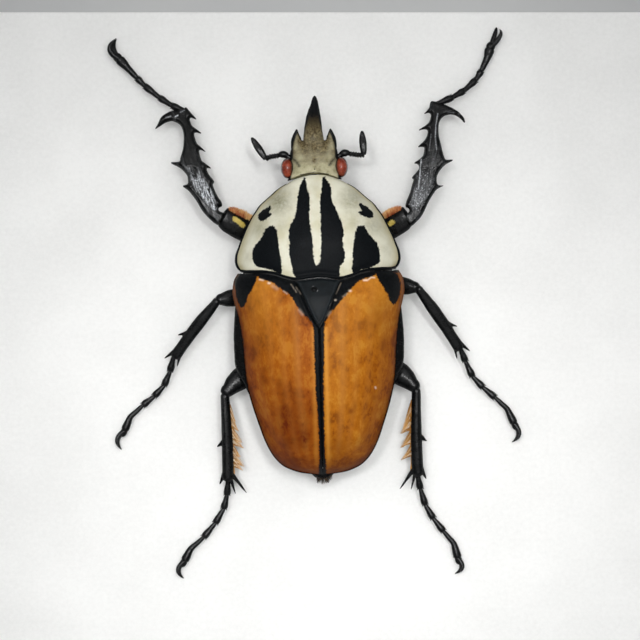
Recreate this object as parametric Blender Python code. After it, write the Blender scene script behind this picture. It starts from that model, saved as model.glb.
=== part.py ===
"""A male Mecynorhina oberthuri, dried with its legs spread, on the white backing board of its case.

The beetle is built in its own frame: the origin is on the midline at the rear edge of the
pronotum, level with the top of the board, +Y runs to the head and +Z up. An empty carries it
to its place on the board. Shapes are given in millimetres and scaled once, when a mesh is made.
"""
import math
import random

import bmesh
import bpy
from mathutils import Matrix, Vector

MM = 0.001
UP = Vector((0.0, 0.0, 1.0))

# Board and the beetle's place on it
BOARD_SIDE = 114.0
BOARD_THICKNESS = 5.0
BOARD_EDGE_ROUND = 0.3
BEETLE_PLACE = (-0.31, 10.49)
BEETLE_TURN = math.radians(1.35)

# Clearances and thicknesses
GAP = 0.3
SHELL = 0.8
SLIVER = 0.004
RIM_DEPTH = 0.8
ROUND_END = (0.7, 0.65)

# Pronotum: half width along the side edge, from its rear corner (y 1.2) to its front corner
PRONOTUM_REAR = 1.2
PRONOTUM_FRONT = 16.1
PRONOTUM_WIDTH = [(1.2, 13.2), (1.9, 13.85), (3.0, 14.2), (4.0, 14.1), (5.4, 13.6), (7.4, 12.8),
                  (8.8, 12.15), (10.2, 11.4), (11.4, 10.6), (12.5, 9.8), (13.3, 8.85), (14.3, 7.7),
                  (15.3, 6.5), (16.1, 5.1)]
PRONOTUM_REAR_SWAY = [(0.0, 0.0), (0.14, -0.2), (0.28, -0.4), (0.42, 0.0), (0.55, 0.6),
                      (0.72, 0.95), (0.92, 1.0), (1.0, 1.2)]
PRONOTUM_FRONT_BOW = 1.3
PRONOTUM_CREST = [(0.0, 17.2), (0.3, 17.5), (0.6, 16.3), (0.85, 14.3), (1.0, 12.9)]
PRONOTUM_EDGE = [(0.0, 10.2), (0.15, 9.3), (0.5, 8.5), (0.8, 9.0), (1.0, 10.0)]
PROSTERNUM_KEEL = [(0.0, 3.4), (0.4, 2.6), (0.8, 4.2), (1.0, 6.6)]
PRONOTUM_UNDERSIDE = 0.97
PROSTERNUM_INSET = 0.96
PROSTERNUM_SIDE = 0.6
DOME_FLATNESS = (2.4, 0.62)
BELLY_FLATNESS = 2.5

# Elytra: half width, and the heights of the back and of the side margin, from front to apex
ELYTRA_FRONT = 0.7
ELYTRA_APEX = -33.8
SWAY_REACH = 4.0
ELYTRA_WIDTH = [(-33.8, 1.3), (-33.4, 3.9), (-33.0, 5.2), (-32.2, 6.8), (-30.6, 8.35), (-28.2, 9.65),
                (-24.8, 10.85), (-21.6, 11.85), (-17.3, 12.8), (-11.8, 13.2), (-6.8, 13.75),
                (-3.6, 14.5), (-2.3, 14.7), (-0.6, 14.45), (0.7, 13.7)]
ELYTRA_CREST = [(-33.8, 9.3), (-32.6, 11.4), (-30.0, 14.2), (-26.0, 16.9), (-20.0, 18.8),
                (-12.0, 19.5), (-5.0, 19.2), (0.7, 17.8)]
ELYTRA_EDGE = [(-33.8, 7.8), (-28.0, 8.2), (-20.0, 8.8), (-12.0, 10.2), (-4.0, 10.4), (0.7, 11.4)]
ELYTRA_ROWS = [0.7, -0.9, -2.6, -4.6, -6.6, -8.8, -11.2, -14.0, -17.0, -20.0, -22.8, -25.4,
               -27.8, -29.8, -31.4, -32.5, -33.2, -33.8]
SHOULDER_KNOB = (11.0, -3.0, 2.6, 0.5)
APEX_KNOB = (6.6, -27.6, 2.2, 0.9)
SCUTELLUM_WIDTH = [(-8.5, 0.0), (-6.9, 1.0), (-4.5, 2.05), (-2.6, 2.75), (-1.0, 3.2), (0.7, 3.75)]
SCUTELLUM_ROWS = [0.7, -1.0, -2.8, -5.2, -6.9, -7.9]
SCUTELLUM_TIP = -8.5
PIN_HOLE = (-0.3, -2.4, 0.3)

# Trunk below the elytra: half width, and the height of the belly's middle line
TRUNK_WIDTH = [(-33.0, 4.6), (-30.0, 7.9), (-25.0, 10.2), (-20.0, 12.0), (-17.0, 13.6), (-14.6, 14.5),
               (-11.0, 14.6), (-6.5, 14.3), (-3.5, 13.8), (0.7, 12.4)]
TRUNK_SHIFT = -0.15
TRUNK_INSET = 1.22
TRUNK_SIDE = (0.4, 1.4, 2.0)
BELLY_SHARES = (0.96, 0.8, 0.55, 0.28)
TRUNK_KEEL = [(-33.0, 5.6), (-30.0, 3.6), (-25.0, 2.2), (-16.0, 1.5), (-11.5, 0.6), (-6.0, 0.6),
              (0.7, 2.4)]
THORAX_ROWS = [0.7, -0.9, -2.6, -4.6, -6.6, -8.8, -11.2, -13.4]
ABDOMEN_ROWS = [-13.7, -16.6, -17.0, -20.0, -20.4, -23.4, -23.8, -26.6, -27.0, -29.6, -30.0, -31.6, -32.6]
SEGMENT_STEP = 0.25
PYGIDIUM = dict(front=-33.1, back=-34.8, height=6.0, half_width=3.0, half_thick=1.5)
THORAX_FACE = (0.0, -1.6, 9.0)
PROCESS = [(-5.5, 1.5, 0.9, 0.8), (-1.5, 1.6, 0.9, 0.8), (0.9, 1.8, 0.75, 0.55)]
PROCESS_TIP = (0.0, 1.7, 1.8)

# Head, which leans a little to the left of the midline
HEAD_SHIFT = -0.22
HEAD_BOW = 0.05
HEAD_SQUARENESS = (0.75, 0.8)
HEAD_SIDES = 14
HEAD_ROWS = [(17.75, 4.7, 9.4, 2.6), (18.6, 4.1, 9.3, 2.7), (19.6, 4.05, 9.0, 2.7), (21.0, 4.1, 8.9, 2.4),
             (22.6, 3.7, 8.9, 1.9), (23.5, 2.1, 9.1, 1.5)]
HEAD_FRONT = 21.0
CLYPEUS_SPINE = dict(root=(3.0, 22.6, 9.3), tip=(2.95, 25.2, 10.2), radius=0.85)
HORN_PATH = [(-0.27, 23.8, 9.2, 1.75, 1.35), (-0.27, 24.4, 9.2, 1.68, 1.35), (-0.25, 25.3, 9.4, 1.55, 1.35),
             (-0.2, 26.5, 10.2, 1.36, 1.25), (-0.1, 27.9, 11.4, 1.02, 1.1), (0.02, 29.0, 12.3, 0.82, 0.95),
             (0.08, 30.0, 12.95, 0.63, 0.78), (0.12, 30.55, 13.3, 0.42, 0.5)]
HORN_TIP = (0.14, 30.8, 13.45)
EYE_CENTRE = (4.8, 18.75, 9.3)
EYE_RADII = (0.95, 1.75, 1.75)
ANTENNA_JOINTS = [(4.6, 20.9, 8.8, 0.45), (5.05, 21.25, 8.8, 0.75), (5.65, 21.1, 8.8, 0.42),
                  (6.1, 21.05, 8.8, 0.3), (7.0, 20.95, 8.7, 0.34), (7.8, 20.8, 8.6, 0.36)]
CHIN = [(18.0, 5.1, 2.4, 0.8), (19.6, 4.9, 2.9, 1.0), (21.6, 5.3, 2.5, 0.9), (22.8, 5.8, 1.6, 0.6)]
FEELER = [(1.6, 21.2, 5.2, 0.4), (2.3, 21.9, 5.4, 0.4), (2.7, 22.8, 5.6, 0.35), (2.4, 23.7, 5.7, 0.4)]
CLUB_SHAPE = ((0.02, 0.34), (0.2, 0.52), (0.5, 0.66), (0.8, 0.52), (0.97, 0.28))
CLUBS = {"l": ((-8.55, 20.5, 8.5), (-10.9, 24.3, 8.2)), "r": ((8.35, 20.85, 8.5), (8.1, 25.0, 8.2))}

# Legs. Stations of a limb are (share of its length, centre outwards, half width, half height)
FEMUR = {
    "front": [(0.0, 0.0, 1.0, 1.0), (0.35, 0.0, 1.75, 1.3), (0.7, 0.0, 1.95, 1.3), (0.88, -0.1, 1.95, 1.2),
              (1.0, 0.0, 1.35, 1.0)],
    "mid": [(0.0, 0.0, 0.9, 0.9), (0.4, 0.1, 1.4, 1.15), (0.75, 0.2, 1.55, 1.1), (0.9, 0.1, 1.4, 1.0),
            (1.0, 0.0, 1.0, 0.9)],
    "hind": [(0.0, 0.0, 1.1, 1.0), (0.4, 0.2, 1.9, 1.25), (0.72, 0.45, 1.95, 1.25), (0.87, 0.45, 1.65, 1.15),
             (1.0, 0.2, 1.15, 1.0)],
}
TIBIA = {
    "front_l": [(0.0, 0.35, 0.95, 0.95), (0.1, 0.75, 1.65, 1.1), (0.22, 1.15, 2.05, 1.15),
                (0.4, 1.4, 1.95, 1.15), (0.57, 1.65, 1.75, 1.1), (0.7, 1.25, 1.3, 1.0),
                (0.85, 0.65, 0.88, 0.85), (1.0, 0.35, 0.65, 0.7)],
    "front_r": [(0.0, 0.35, 0.95, 0.95), (0.1, 0.8, 1.6, 1.1), (0.22, 1.15, 2.0, 1.15),
                (0.4, 1.3, 1.9, 1.15), (0.55, 1.45, 1.8, 1.1), (0.68, 0.9, 1.3, 1.0),
                (0.85, 0.45, 0.85, 0.85), (1.0, 0.35, 0.72, 0.7)],
    "mid": [(0.0, 0.05, 0.7, 0.75), (0.3, 0.15, 0.7, 0.8), (0.6, 0.2, 0.75, 0.8), (0.85, 0.05, 0.78, 0.75),
            (1.0, 0.0, 0.9, 0.7)],
    "hind": [(0.0, 0.15, 0.78, 0.8), (0.3, 0.0, 0.9, 0.9), (0.6, -0.08, 1.0, 0.9), (0.85, -0.08, 1.03, 0.85),
             (1.0, 0.0, 1.0, 0.8)],
}
# Spikes of a tibia are (root share, root outwards, tip share, tip outwards, root radius)
SPIKES = {
    "front_l": [(0.34, -0.3, 0.3, -0.95, 0.5), (0.49, 0.1, 0.45, -1.1, 0.6), (0.66, 0.45, 0.62, -1.15, 0.6),
                (0.84, 0.2, 0.8, -1.35, 0.6), (0.99, 0.1, 0.95, -1.25, 0.6), (0.31, 2.5, 0.35, 4.6, 0.75),
                (0.575, 2.6, 0.605, 5.1, 0.85)],
    "front_r": [(0.35, -0.25, 0.31, -1.1, 0.5), (0.49, -0.1, 0.45, -1.3, 0.6), (0.65, 0.1, 0.61, -1.35, 0.6),
                (0.81, 0.05, 0.77, -1.75, 0.6), (0.98, 0.05, 0.94, -1.45, 0.6), (0.22, 2.3, 0.285, 4.45, 0.7),
                (0.51, 2.4, 0.54, 5.05, 0.9)],
    "mid": [(0.64, 0.4, 0.72, 1.6, 0.5), (0.95, 0.45, 1.17, 1.1, 0.5), (0.95, -0.4, 1.15, -1.5, 0.4)],
    "hind": [(0.54, 0.4, 0.61, 1.75, 0.6), (0.95, 0.5, 1.1, 1.45, 0.5), (0.96, -0.6, 1.22, -3.2, 0.42),
             (0.96, -0.2, 1.23, -1.25, 0.42)],
}
# The big hooked tooth of a front tibia is (share, outwards, radius), and its tip (share, outwards)
HOOK = {
    "front_l": [(0.95, 0.5, 0.6), (1.0, 1.5, 0.9), (1.035, 2.4, 0.68), (1.035, 3.6, 0.45),
                (1.015, 4.9, 0.26)],
    "front_r": [(0.94, 0.5, 0.6), (0.99, 1.6, 0.9), (1.02, 2.75, 0.62), (1.02, 3.95, 0.42),
                (0.98, 5.1, 0.26)],
}
HOOK_TIP = {"front_l": (0.97, 6.0), "front_r": (0.92, 5.9)}
# A tarsus has four short joints, then the bend and the end of its claw joint
LEGS = {
    "front_l": dict(kind="front", form="front_l", outward=-1, coxa=(-2.9, 4.9, 2.8), hip=(-5.0, 4.6, 2.7),
                    knee=(-16.75, 10.75, 6.6), ankle=(-22.25, 29.3, 4.2),
                    tarsus=[(-24.75, 30.5, 3.5), (-26.85, 31.95, 2.8), (-29.4, 34.1, 2.1),
                            (-30.7, 35.5, 1.7), (-32.8, 37.85, 1.4), (-33.85, 39.0, 1.2)],
                    claw=(-34.2, 42.55), bulge=(-1.25, -1.4)),
    "front_r": dict(kind="front", form="front_r", outward=1, coxa=(2.9, 4.9, 2.8), hip=(5.0, 4.3, 2.7),
                    knee=(16.2, 10.2, 6.6), ankle=(21.1, 29.5, 4.2),
                    tarsus=[(24.1, 30.8, 3.5), (26.1, 31.9, 2.8), (28.25, 33.8, 2.1),
                            (29.2, 35.3, 1.7), (30.35, 37.6, 1.4), (30.9, 39.3, 1.2)],
                    claw=(32.2, 42.85), bulge=(0.25, 1.5)),
    "mid_l": dict(kind="mid", form="mid", outward=1, coxa=(-2.9, -3.4, 2.2), hip=(-5.0, -3.0, 2.5),
                  knee=(-17.3, -3.4, 6.0), ankle=(-25.5, -13.4, 3.2),
                  tarsus=[(-26.15, -15.7, 2.6), (-27.25, -18.1, 2.1), (-29.05, -19.95, 1.8),
                          (-31.1, -21.5, 1.6), (-33.3, -23.5, 1.4), (-34.4, -25.8, 1.2)],
                  claw=(-35.0, -29.1), bulge=(1.1, 1.25)),
    "mid_r": dict(kind="mid", form="mid", outward=-1, coxa=(2.9, -2.0, 2.2), hip=(5.0, -1.2, 2.5),
                  knee=(17.0, -2.1, 6.0), ankle=(24.5, -13.2, 3.2),
                  tarsus=[(25.25, -15.15, 2.6), (26.45, -17.8, 2.1), (28.25, -19.75, 1.8),
                          (30.3, -21.55, 1.6), (32.35, -23.6, 1.4), (33.6, -26.25, 1.2)],
                  claw=(33.15, -29.4), bulge=(-1.1, -1.25)),
    "hind_l": dict(kind="hind", form="hind", outward=1, coxa=(-2.7, -11.6, 2.0), hip=(-6.4, -12.2, 2.5),
                   knee=(-16.45, -19.65, 5.4), ankle=(-16.5, -35.1, 3.2),
                   tarsus=[(-16.75, -37.4, 2.6), (-17.4, -39.8, 2.1), (-18.95, -42.3, 1.8),
                           (-21.05, -44.75, 1.6), (-23.3, -46.7, 1.4), (-24.5, -48.8, 1.2)],
                   claw=(-24.7, -51.8), bulge=(1.1, 1.25)),
    "hind_r": dict(kind="hind", form="hind", outward=-1, coxa=(2.7, -11.6, 2.0), hip=(6.4, -12.0, 2.5),
                   knee=(16.3, -19.5, 5.4), ankle=(16.5, -35.0, 3.2),
                   tarsus=[(16.9, -37.1, 2.6), (17.7, -39.95, 2.1), (19.05, -42.35, 1.8),
                           (20.8, -44.65, 1.6), (22.5, -46.85, 1.4), (23.2, -49.4, 1.2)],
                   claw=(22.65, -52.1), bulge=(-1.1, -1.25)),
}
COXA_SWELL = 1.25
TARSUS_NECK = 0.34
TARSUS_WIDE = 0.55
CLAW_JOINT = 0.62
CLAW_RADIUS = 0.42
CLAW_SPREAD = 0.55
CLAW_SHARES = (0.0, 0.25, 0.5, 0.75, 0.9)
KNEE_LAP = 0.45
ANKLE_LAP = 0.5

# Hair, as flat locks: how many, how long, how wide and how thick from the middle out
FRINGE = dict(count=11, length=4.7, width=1.1, thick=0.22, first=0.06, last=0.71)
LOCK_SHAPE = ((0.0, 0.9), (0.4, 1.0), (0.75, 0.6))
PAD = dict(count=6, length=3.5, width=1.9, thick=0.45, first=0.45, last=0.86)
APEX = dict(count=6, length=1.7, width=1.1, thick=0.25, arc=1.7)
SEED = 10

# Finishes: linear colour, roughness
BOARD_WHITE = ((0.90, 0.90, 0.88), 0.9)
CREAM = ((0.62, 0.60, 0.42), 0.35)
ORANGE_BROWN = ((0.42, 0.16, 0.03), 0.3)
BLACK = ((0.012, 0.015, 0.018), 0.25)
SLATE = ((0.05, 0.055, 0.06), 0.6)
EYE_BROWN = ((0.28, 0.05, 0.02), 0.15)
HEAD_OLIVE = ((0.22, 0.17, 0.08), 0.4)


def clear_scene():
    for item in list(bpy.data.objects):
        bpy.data.objects.remove(item, do_unlink=True)


def curve(knots, t):
    """The value at t of a smooth curve through the knots that never overshoots them."""
    if t <= knots[0][0]:
        return knots[0][1]
    if t >= knots[-1][0]:
        return knots[-1][1]
    rises = [(b[1] - a[1]) / (b[0] - a[0]) for a, b in zip(knots, knots[1:])]
    i = max(k for k in range(len(rises)) if knots[k][0] <= t)

    def slope(k):
        if k == 0:
            return rises[0]
        if k == len(rises):
            return rises[-1]
        before, after = rises[k - 1], rises[k]
        return 2.0 * before * after / (before + after) if before * after > 0.0 else 0.0

    (t0, v0), (t1, v1) = knots[i], knots[i + 1]
    span = t1 - t0
    u = (t - t0) / span
    return ((2 * u ** 3 - 3 * u ** 2 + 1) * v0 + (u ** 3 - 2 * u ** 2 + u) * span * slope(i)
            + (3 * u ** 2 - 2 * u ** 3) * v1 + (u ** 3 - u ** 2) * span * slope(i + 1))


def loft(rings, start=None, end=None):
    """A closed skin over the rings. Each end is a fan, to the ring's centre or to a given point."""
    bm = bmesh.new()
    loops = [[bm.verts.new(point) for point in ring] for ring in rings]
    count = len(rings[0])
    for low, high in zip(loops, loops[1:]):
        for i in range(count):
            j = (i + 1) % count
            bm.faces.new((low[i], low[j], high[j], high[i]))
    for loop, tip in ((loops[0], start), (loops[-1], end)):
        middle = sum((vert.co for vert in loop), Vector()) / count
        centre = bm.verts.new(tip if tip is not None else middle)
        for i in range(count):
            bm.faces.new((centre, loop[i], loop[(i + 1) % count]))
    return bm


def oval(centre, across, rise, sides, start=0.0):
    """A ring of points round the centre, at half width across and half height rise."""
    turns = [start + 2.0 * math.pi * k / sides for k in range(sides)]
    return [centre + across * math.cos(a) + rise * math.sin(a) for a in turns]


def tube(stations, sides, start=None, end=None):
    """A loft along a bent path of (centre, half width, half height)."""
    rings = []
    for k, (centre, wide, high) in enumerate(stations):
        before = stations[max(k - 1, 0)][0]
        after = stations[min(k + 1, len(stations) - 1)][0]
        along = (after - before).normalized()
        across = along.cross(UP).normalized()
        rings.append(oval(centre, across * wide, across.cross(along) * high, sides))
    return loft(rings, start, end)


def ellipsoid(centre, radii, across=12, rows=7):
    """A closed egg with its poles on the X axis, where an eye or a joint faces its socket."""
    rings = []
    for k in range(1, rows):
        turn = math.pi * k / rows
        middle = Vector(centre) + Vector((-radii[0] * math.cos(turn), 0.0, 0.0))
        size = math.sin(turn)
        rings.append(oval(middle, Vector((0, radii[1] * size, 0)), Vector((0, 0, radii[2] * size)), across))
    pole = Vector((radii[0], 0.0, 0.0))
    return loft(rings, Vector(centre) - pole, Vector(centre) + pole)


def limb(stations, length, outward, sides=8):
    """A limb along +Y from 0 to length with both its ends rounded off, in its own frame."""
    def ring(y, x, wide, high):
        return oval(Vector((outward * x, y, 0.0)), Vector((wide, 0, 0)), Vector((0, 0, high)), sides)

    first, last = stations[0], stations[-1]
    reach, size = ROUND_END
    rings = [ring(-reach * first[2], first[1], size * first[2], size * first[3])]
    rings += [ring(share * length, x, wide, high) for share, x, wide, high in stations]
    rings.append(ring(length + reach * last[2], last[1], size * last[2], size * last[3]))
    return loft(rings, Vector((outward * first[1], -first[2], 0.0)),
                Vector((outward * last[1], length + last[2], 0.0)))


def spike(root, tip, radius, rise=0.0):
    """A tapered spine from inside its root to a sharp tip, bowed by rise at the middle."""
    root, tip = Vector(root), Vector(tip)
    middle = root.lerp(tip, 0.5) + UP * rise
    along = (tip - root).normalized()
    across = along.cross(UP).normalized()
    lift = across.cross(along)
    rings = [oval(root, across * radius, lift * radius, 5),
             oval(middle, across * radius * 0.6, lift * radius * 0.6, 5)]
    return loft(rings, None, tip)


def lock(root, out, length, width, sag, thick=0.22):
    """A flat tapered tuft that leaves its root along out and bends down by sag at its tip."""
    root, out = Vector(root), Vector(out).normalized()
    across = out.cross(UP).normalized()
    rings = []
    for share, size in LOCK_SHAPE:
        centre = root + out * length * share - UP * sag * share ** 2
        rings.append(oval(centre, across * width * size * 0.5, UP * thick * size, 4))
    return loft(rings, None, root + out * length - UP * sag)


def finish_mesh(name, bm):
    bmesh.ops.recalc_face_normals(bm, faces=bm.faces)
    bmesh.ops.triangulate(bm, faces=bm.faces, quad_method="FIXED")
    bmesh.ops.scale(bm, vec=(MM, MM, MM), verts=bm.verts)
    mesh = bpy.data.meshes.new(name)
    bm.to_mesh(mesh)
    bm.free()
    return mesh


def add_piece(name, bm, finish, parent, matrix=None):
    """One object of the model, with a material of its own, under the empty that carries it."""
    mesh = finish_mesh(name, bm)
    piece = bpy.data.objects.new(name, mesh)
    bpy.context.collection.objects.link(piece)
    piece.parent = parent
    if matrix is not None:
        piece.matrix_local = matrix
    colour, roughness = finish
    surface = bpy.data.materials.new(name)
    surface.use_nodes = True
    shader = surface.node_tree.nodes["Principled BSDF"]
    shader.inputs["Base Color"].default_value = (*colour, 1.0)
    shader.inputs["Roughness"].default_value = roughness
    shader.inputs["Metallic"].default_value = 0.0
    mesh.materials.append(surface)
    return piece


def keep_largest(mesh):
    """Leave only the largest closed surface of the mesh."""
    bm = bmesh.new()
    bm.from_mesh(mesh)
    unseen = set(bm.faces)
    shells = []
    while unseen:
        stack = [unseen.pop()]
        shell = list(stack)
        while stack:
            for edge in stack.pop().edges:
                for face in edge.link_faces:
                    if face in unseen:
                        unseen.remove(face)
                        stack.append(face)
                        shell.append(face)
        shells.append(shell)
    shells.sort(key=lambda faces: sum(face.calc_area() for face in faces))
    for shell in shells[:-1]:
        bmesh.ops.delete(bm, geom=shell, context="FACES")
    bmesh.ops.dissolve_degenerate(bm, edges=bm.edges, dist=SLIVER * MM)
    bmesh.ops.triangulate(bm, faces=bm.faces)
    bm.to_mesh(mesh)
    bm.free()


def combine(piece, shapes, operation, solver="EXACT"):
    """Join closed shapes to a piece, or cut them from it, with one Boolean on a collection.

    Each shape comes with the frame that it stands in, or None for the beetle's own.
    """
    group = bpy.data.collections.new(piece.name + "_shapes")
    bpy.context.scene.collection.children.link(group)
    helpers = []
    for shape, frame in shapes:
        helper = bpy.data.objects.new(piece.name + "_shape", finish_mesh("shape", shape))
        helper.hide_render = True
        helper.display_type = "WIRE"
        helper.parent = piece.parent
        if frame is not None:
            helper.matrix_local = frame
        group.objects.link(helper)
        helpers.append(helper)
    modifier = piece.modifiers.new(operation.title(), "BOOLEAN")
    modifier.operation = operation
    modifier.operand_type = "COLLECTION"
    modifier.collection = group
    modifier.solver = solver
    graph = bpy.context.evaluated_depsgraph_get()
    graph.update()
    mesh = bpy.data.meshes.new_from_object(piece.evaluated_get(graph))
    piece.modifiers.clear()
    piece.data = mesh
    for helper in helpers:
        bpy.data.objects.remove(helper, do_unlink=True)
    bpy.data.collections.remove(group)
    keep_largest(mesh)


def limb_frame(root, tip):
    """A limb's own frame at its root: +Y to its tip, +X level, to the right of its way."""
    along = (tip - root).normalized()
    across = along.cross(UP).normalized()
    axes = Matrix((across, along, across.cross(along))).transposed().to_4x4()
    return Matrix.Translation(root * MM) @ axes


# The domed back, which the elytra, the scutellum and the trunk share

def dome(share):
    """How high a domed cross-section stands at a share of its half width, from 1 to 0."""
    return max(1.0 - abs(share) ** DOME_FLATNESS[0], 0.0) ** DOME_FLATNESS[1]


def knob(x, y, place):
    reach = ((abs(x) - place[0]) ** 2 + (y - place[1]) ** 2) / place[2] ** 2
    return place[3] * math.exp(-reach)


def back_point(x_share, y, inset):
    """A point of the domed back at a share of the half width, sunk below its surface by inset."""
    wide = curve(ELYTRA_WIDTH, y) - inset
    crest = curve(ELYTRA_CREST, y) - inset
    edge = curve(ELYTRA_EDGE, y)
    x = wide * x_share
    bumps = (knob(x, y, SHOULDER_KNOB) + knob(x, y, APEX_KNOB)) * min(1.0, 3.0 * (1.0 - abs(x_share)))
    return Vector((x, y, edge + (crest - edge) * dome(x_share) + bumps))


def sway(x, y):
    """How far a row at y shifts at x, so that the foremost one runs along the pronotum's rear edge."""
    edge = curve(PRONOTUM_REAR_SWAY, min(abs(x) / PRONOTUM_WIDTH[0][1], 1.0)) - GAP
    return (edge - ELYTRA_FRONT) * max(0.0, 1.0 + (y - ELYTRA_FRONT) / SWAY_REACH)


def make_board():
    bm = bmesh.new()
    bmesh.ops.create_cube(bm, size=1.0)
    bmesh.ops.scale(bm, vec=(BOARD_SIDE, BOARD_SIDE, BOARD_THICKNESS), verts=bm.verts)
    bmesh.ops.translate(bm, vec=(0.0, 0.0, BOARD_THICKNESS / 2.0), verts=bm.verts)
    bmesh.ops.bevel(bm, geom=bm.edges, offset=BOARD_EDGE_ROUND, segments=2, affect="EDGES", profile=0.5)
    add_piece("board", bm, BOARD_WHITE, None)


def pronotum_grid(across, along):
    """Rows of (x, y, share of the half width, share of the length) over the pronotum's plan."""
    rows = []
    for r in range(along + 1):
        s = r / along
        row = []
        for c in range(across + 1):
            u = math.sin(math.pi / 2.0 * (2.0 * c / across - 1.0))
            rear = curve(PRONOTUM_REAR_SWAY, abs(u))
            front = PRONOTUM_FRONT + PRONOTUM_FRONT_BOW * (1.0 - u * u)
            side = PRONOTUM_REAR + (PRONOTUM_FRONT - PRONOTUM_REAR) * s
            row.append((u * curve(PRONOTUM_WIDTH, side), rear + (front - rear) * s, u, s))
        rows.append(row)
    return rows


def make_pronotum(parent):
    rings = []
    for row in pronotum_grid(16, 12):
        s = row[0][3]
        edge, crest = curve(PRONOTUM_EDGE, s), curve(PRONOTUM_CREST, s)
        top = [Vector((x, y, edge + (crest - edge) * dome(u))) for x, y, u, _ in row]
        under = [Vector((x * PRONOTUM_UNDERSIDE, y, edge - RIM_DEPTH)) for x, y, u, _ in reversed(row)]
        rings.append(top + under)
    add_piece("pronotum", loft_strip(rings), CREAM, parent)


def make_prosternum(parent, leg_room):
    """The underside of the prothorax, from the pronotum's rim down to its keel."""
    rings = []
    for row in pronotum_grid(12, 9):
        s = row[0][3]
        edge, keel = curve(PRONOTUM_EDGE, s) - RIM_DEPTH - GAP, curve(PROSTERNUM_KEEL, s)
        rise = edge - PROSTERNUM_SIDE - keel
        top = [Vector((x * PROSTERNUM_INSET, y, edge)) for x, y, u, _ in row]
        under = [Vector((x * PROSTERNUM_INSET, y, keel + rise * abs(u) ** BELLY_FLATNESS))
                 for x, y, u, _ in reversed(row)]
        rings.append(top + under)
    piece = add_piece("prosternum", loft_strip(rings), BLACK, parent)
    combine(piece, leg_room, "DIFFERENCE")


def make_elytron(name, side, parent):
    """One wing case: a shell from the suture, or from the scutellum's side, to its outer margin."""
    columns = 10
    length = ELYTRA_FRONT - ELYTRA_APEX

    def row_of(y, inset):
        wide = curve(ELYTRA_WIDTH, y) - inset
        inner = GAP / 2.0
        if y > SCUTELLUM_TIP:
            inner += curve(SCUTELLUM_WIDTH, y) + GAP / 2.0
        row = []
        for c in range(columns + 1):
            x = inner + (wide - inner) * math.sin(math.pi / 2.0 * c / columns)
            point = back_point(x / wide, y, inset)
            point.y += sway(x, y)
            point.x *= side
            row.append(point)
        return row

    rings = []
    for y in ELYTRA_ROWS:
        sunk = ELYTRA_FRONT + (y - ELYTRA_FRONT) * (length - SHELL) / length
        rings.append(row_of(y, 0.0) + row_of(sunk, SHELL)[::-1])
    add_piece(name, loft_strip(rings), ORANGE_BROWN, parent)


def loft_strip(rings):
    """A loft whose flat ends are closed by strips between the two halves of the end rings."""
    bm = bmesh.new()
    loops = [[bm.verts.new(point) for point in ring] for ring in rings]
    count = len(rings[0])
    for low, high in zip(loops, loops[1:]):
        for i in range(count):
            j = (i + 1) % count
            bm.faces.new((low[i], low[j], high[j], high[i]))
    for loop in (loops[0], loops[-1]):
        for i in range(count // 2 - 1):
            bm.faces.new((loop[i], loop[i + 1], loop[count - 2 - i], loop[count - 1 - i]))
    return bm


def make_scutellum(parent):
    rings = []
    for y in SCUTELLUM_ROWS:
        half = max(curve(SCUTELLUM_WIDTH, y), 0.35)
        wide = curve(ELYTRA_WIDTH, y)
        top = [back_point(half * u / wide, y, 0.0) for u in (-1.0, -0.5, 0.0, 0.5, 1.0)]
        under = [point - UP * SHELL for point in reversed(top)]
        ring = top + under
        for point in ring:
            point.y += sway(point.x, y)
        rings.append(ring)
    tip = back_point(0.0, SCUTELLUM_TIP + GAP, SHELL / 2.0)
    piece = add_piece("scutellum", loft(rings, None, tip), SLATE, parent)
    x, y, radius = PIN_HOLE
    top = back_point(0.0, y, 0.0).z
    hole = [oval(Vector((x, y, z)), Vector((radius, 0, 0)), Vector((0, radius, 0)), 6)
            for z in (top - SHELL * 0.6, top + SHELL)]
    combine(piece, [(loft(hole), None)], "DIFFERENCE")


def trunk_ring(y, squeeze=0.0):
    """A cross-section of the trunk: the back under the elytra, a shelf below their margin, the belly."""
    shelf, side, foot = (curve(ELYTRA_EDGE, y) - drop for drop in TRUNK_SIDE)
    keel = curve(TRUNK_KEEL, y) + squeeze
    back = [back_point(math.sin(math.pi / 2.0 * c / 6.0), y, TRUNK_INSET) for c in range(-6, 7)]
    inner = back[-1].x
    wide = max(curve(TRUNK_WIDTH, y) - squeeze, inner + 0.1)
    right = [Vector((inner, y, shelf)), Vector((wide, y, side))]
    belly = [Vector((wide * share, y, keel + (foot - keel) * share ** BELLY_FLATNESS))
             for share in BELLY_SHARES]
    half = right + belly
    left = [Vector((-point.x, point.y, point.z)) for point in reversed(half)]
    for point in half[1:] + left[:-1]:
        point.x += TRUNK_SHIFT
    ring = back + half + [Vector((0.0, y, keel))] + left
    for point in ring:
        point.y += sway(point.x, y)
    return ring


def make_thorax(parent, leg_room):
    """Meso- and metathorax, with the blunt process that runs forward between the middle legs."""
    rings = [trunk_ring(y) for y in THORAX_ROWS]
    piece = add_piece("thorax", loft(rings, Vector(THORAX_FACE)), BLACK, parent)
    combine(piece, leg_room, "DIFFERENCE")
    stations = [(Vector((0.0, y, z)), wide, high) for y, z, wide, high in PROCESS]
    combine(piece, [(tube(stations, 8, None, Vector(PROCESS_TIP)), None)], "UNION")


def make_abdomen(parent, leg_room):
    """The abdomen, with a step in its belly where one ring of the shell slides under the next."""
    rings = [trunk_ring(y, SEGMENT_STEP if k % 2 == 0 and k else 0.0) for k, y in enumerate(ABDOMEN_ROWS)]
    piece = add_piece("abdomen", loft(rings), BLACK, parent)
    combine(piece, leg_room, "DIFFERENCE")


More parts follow.
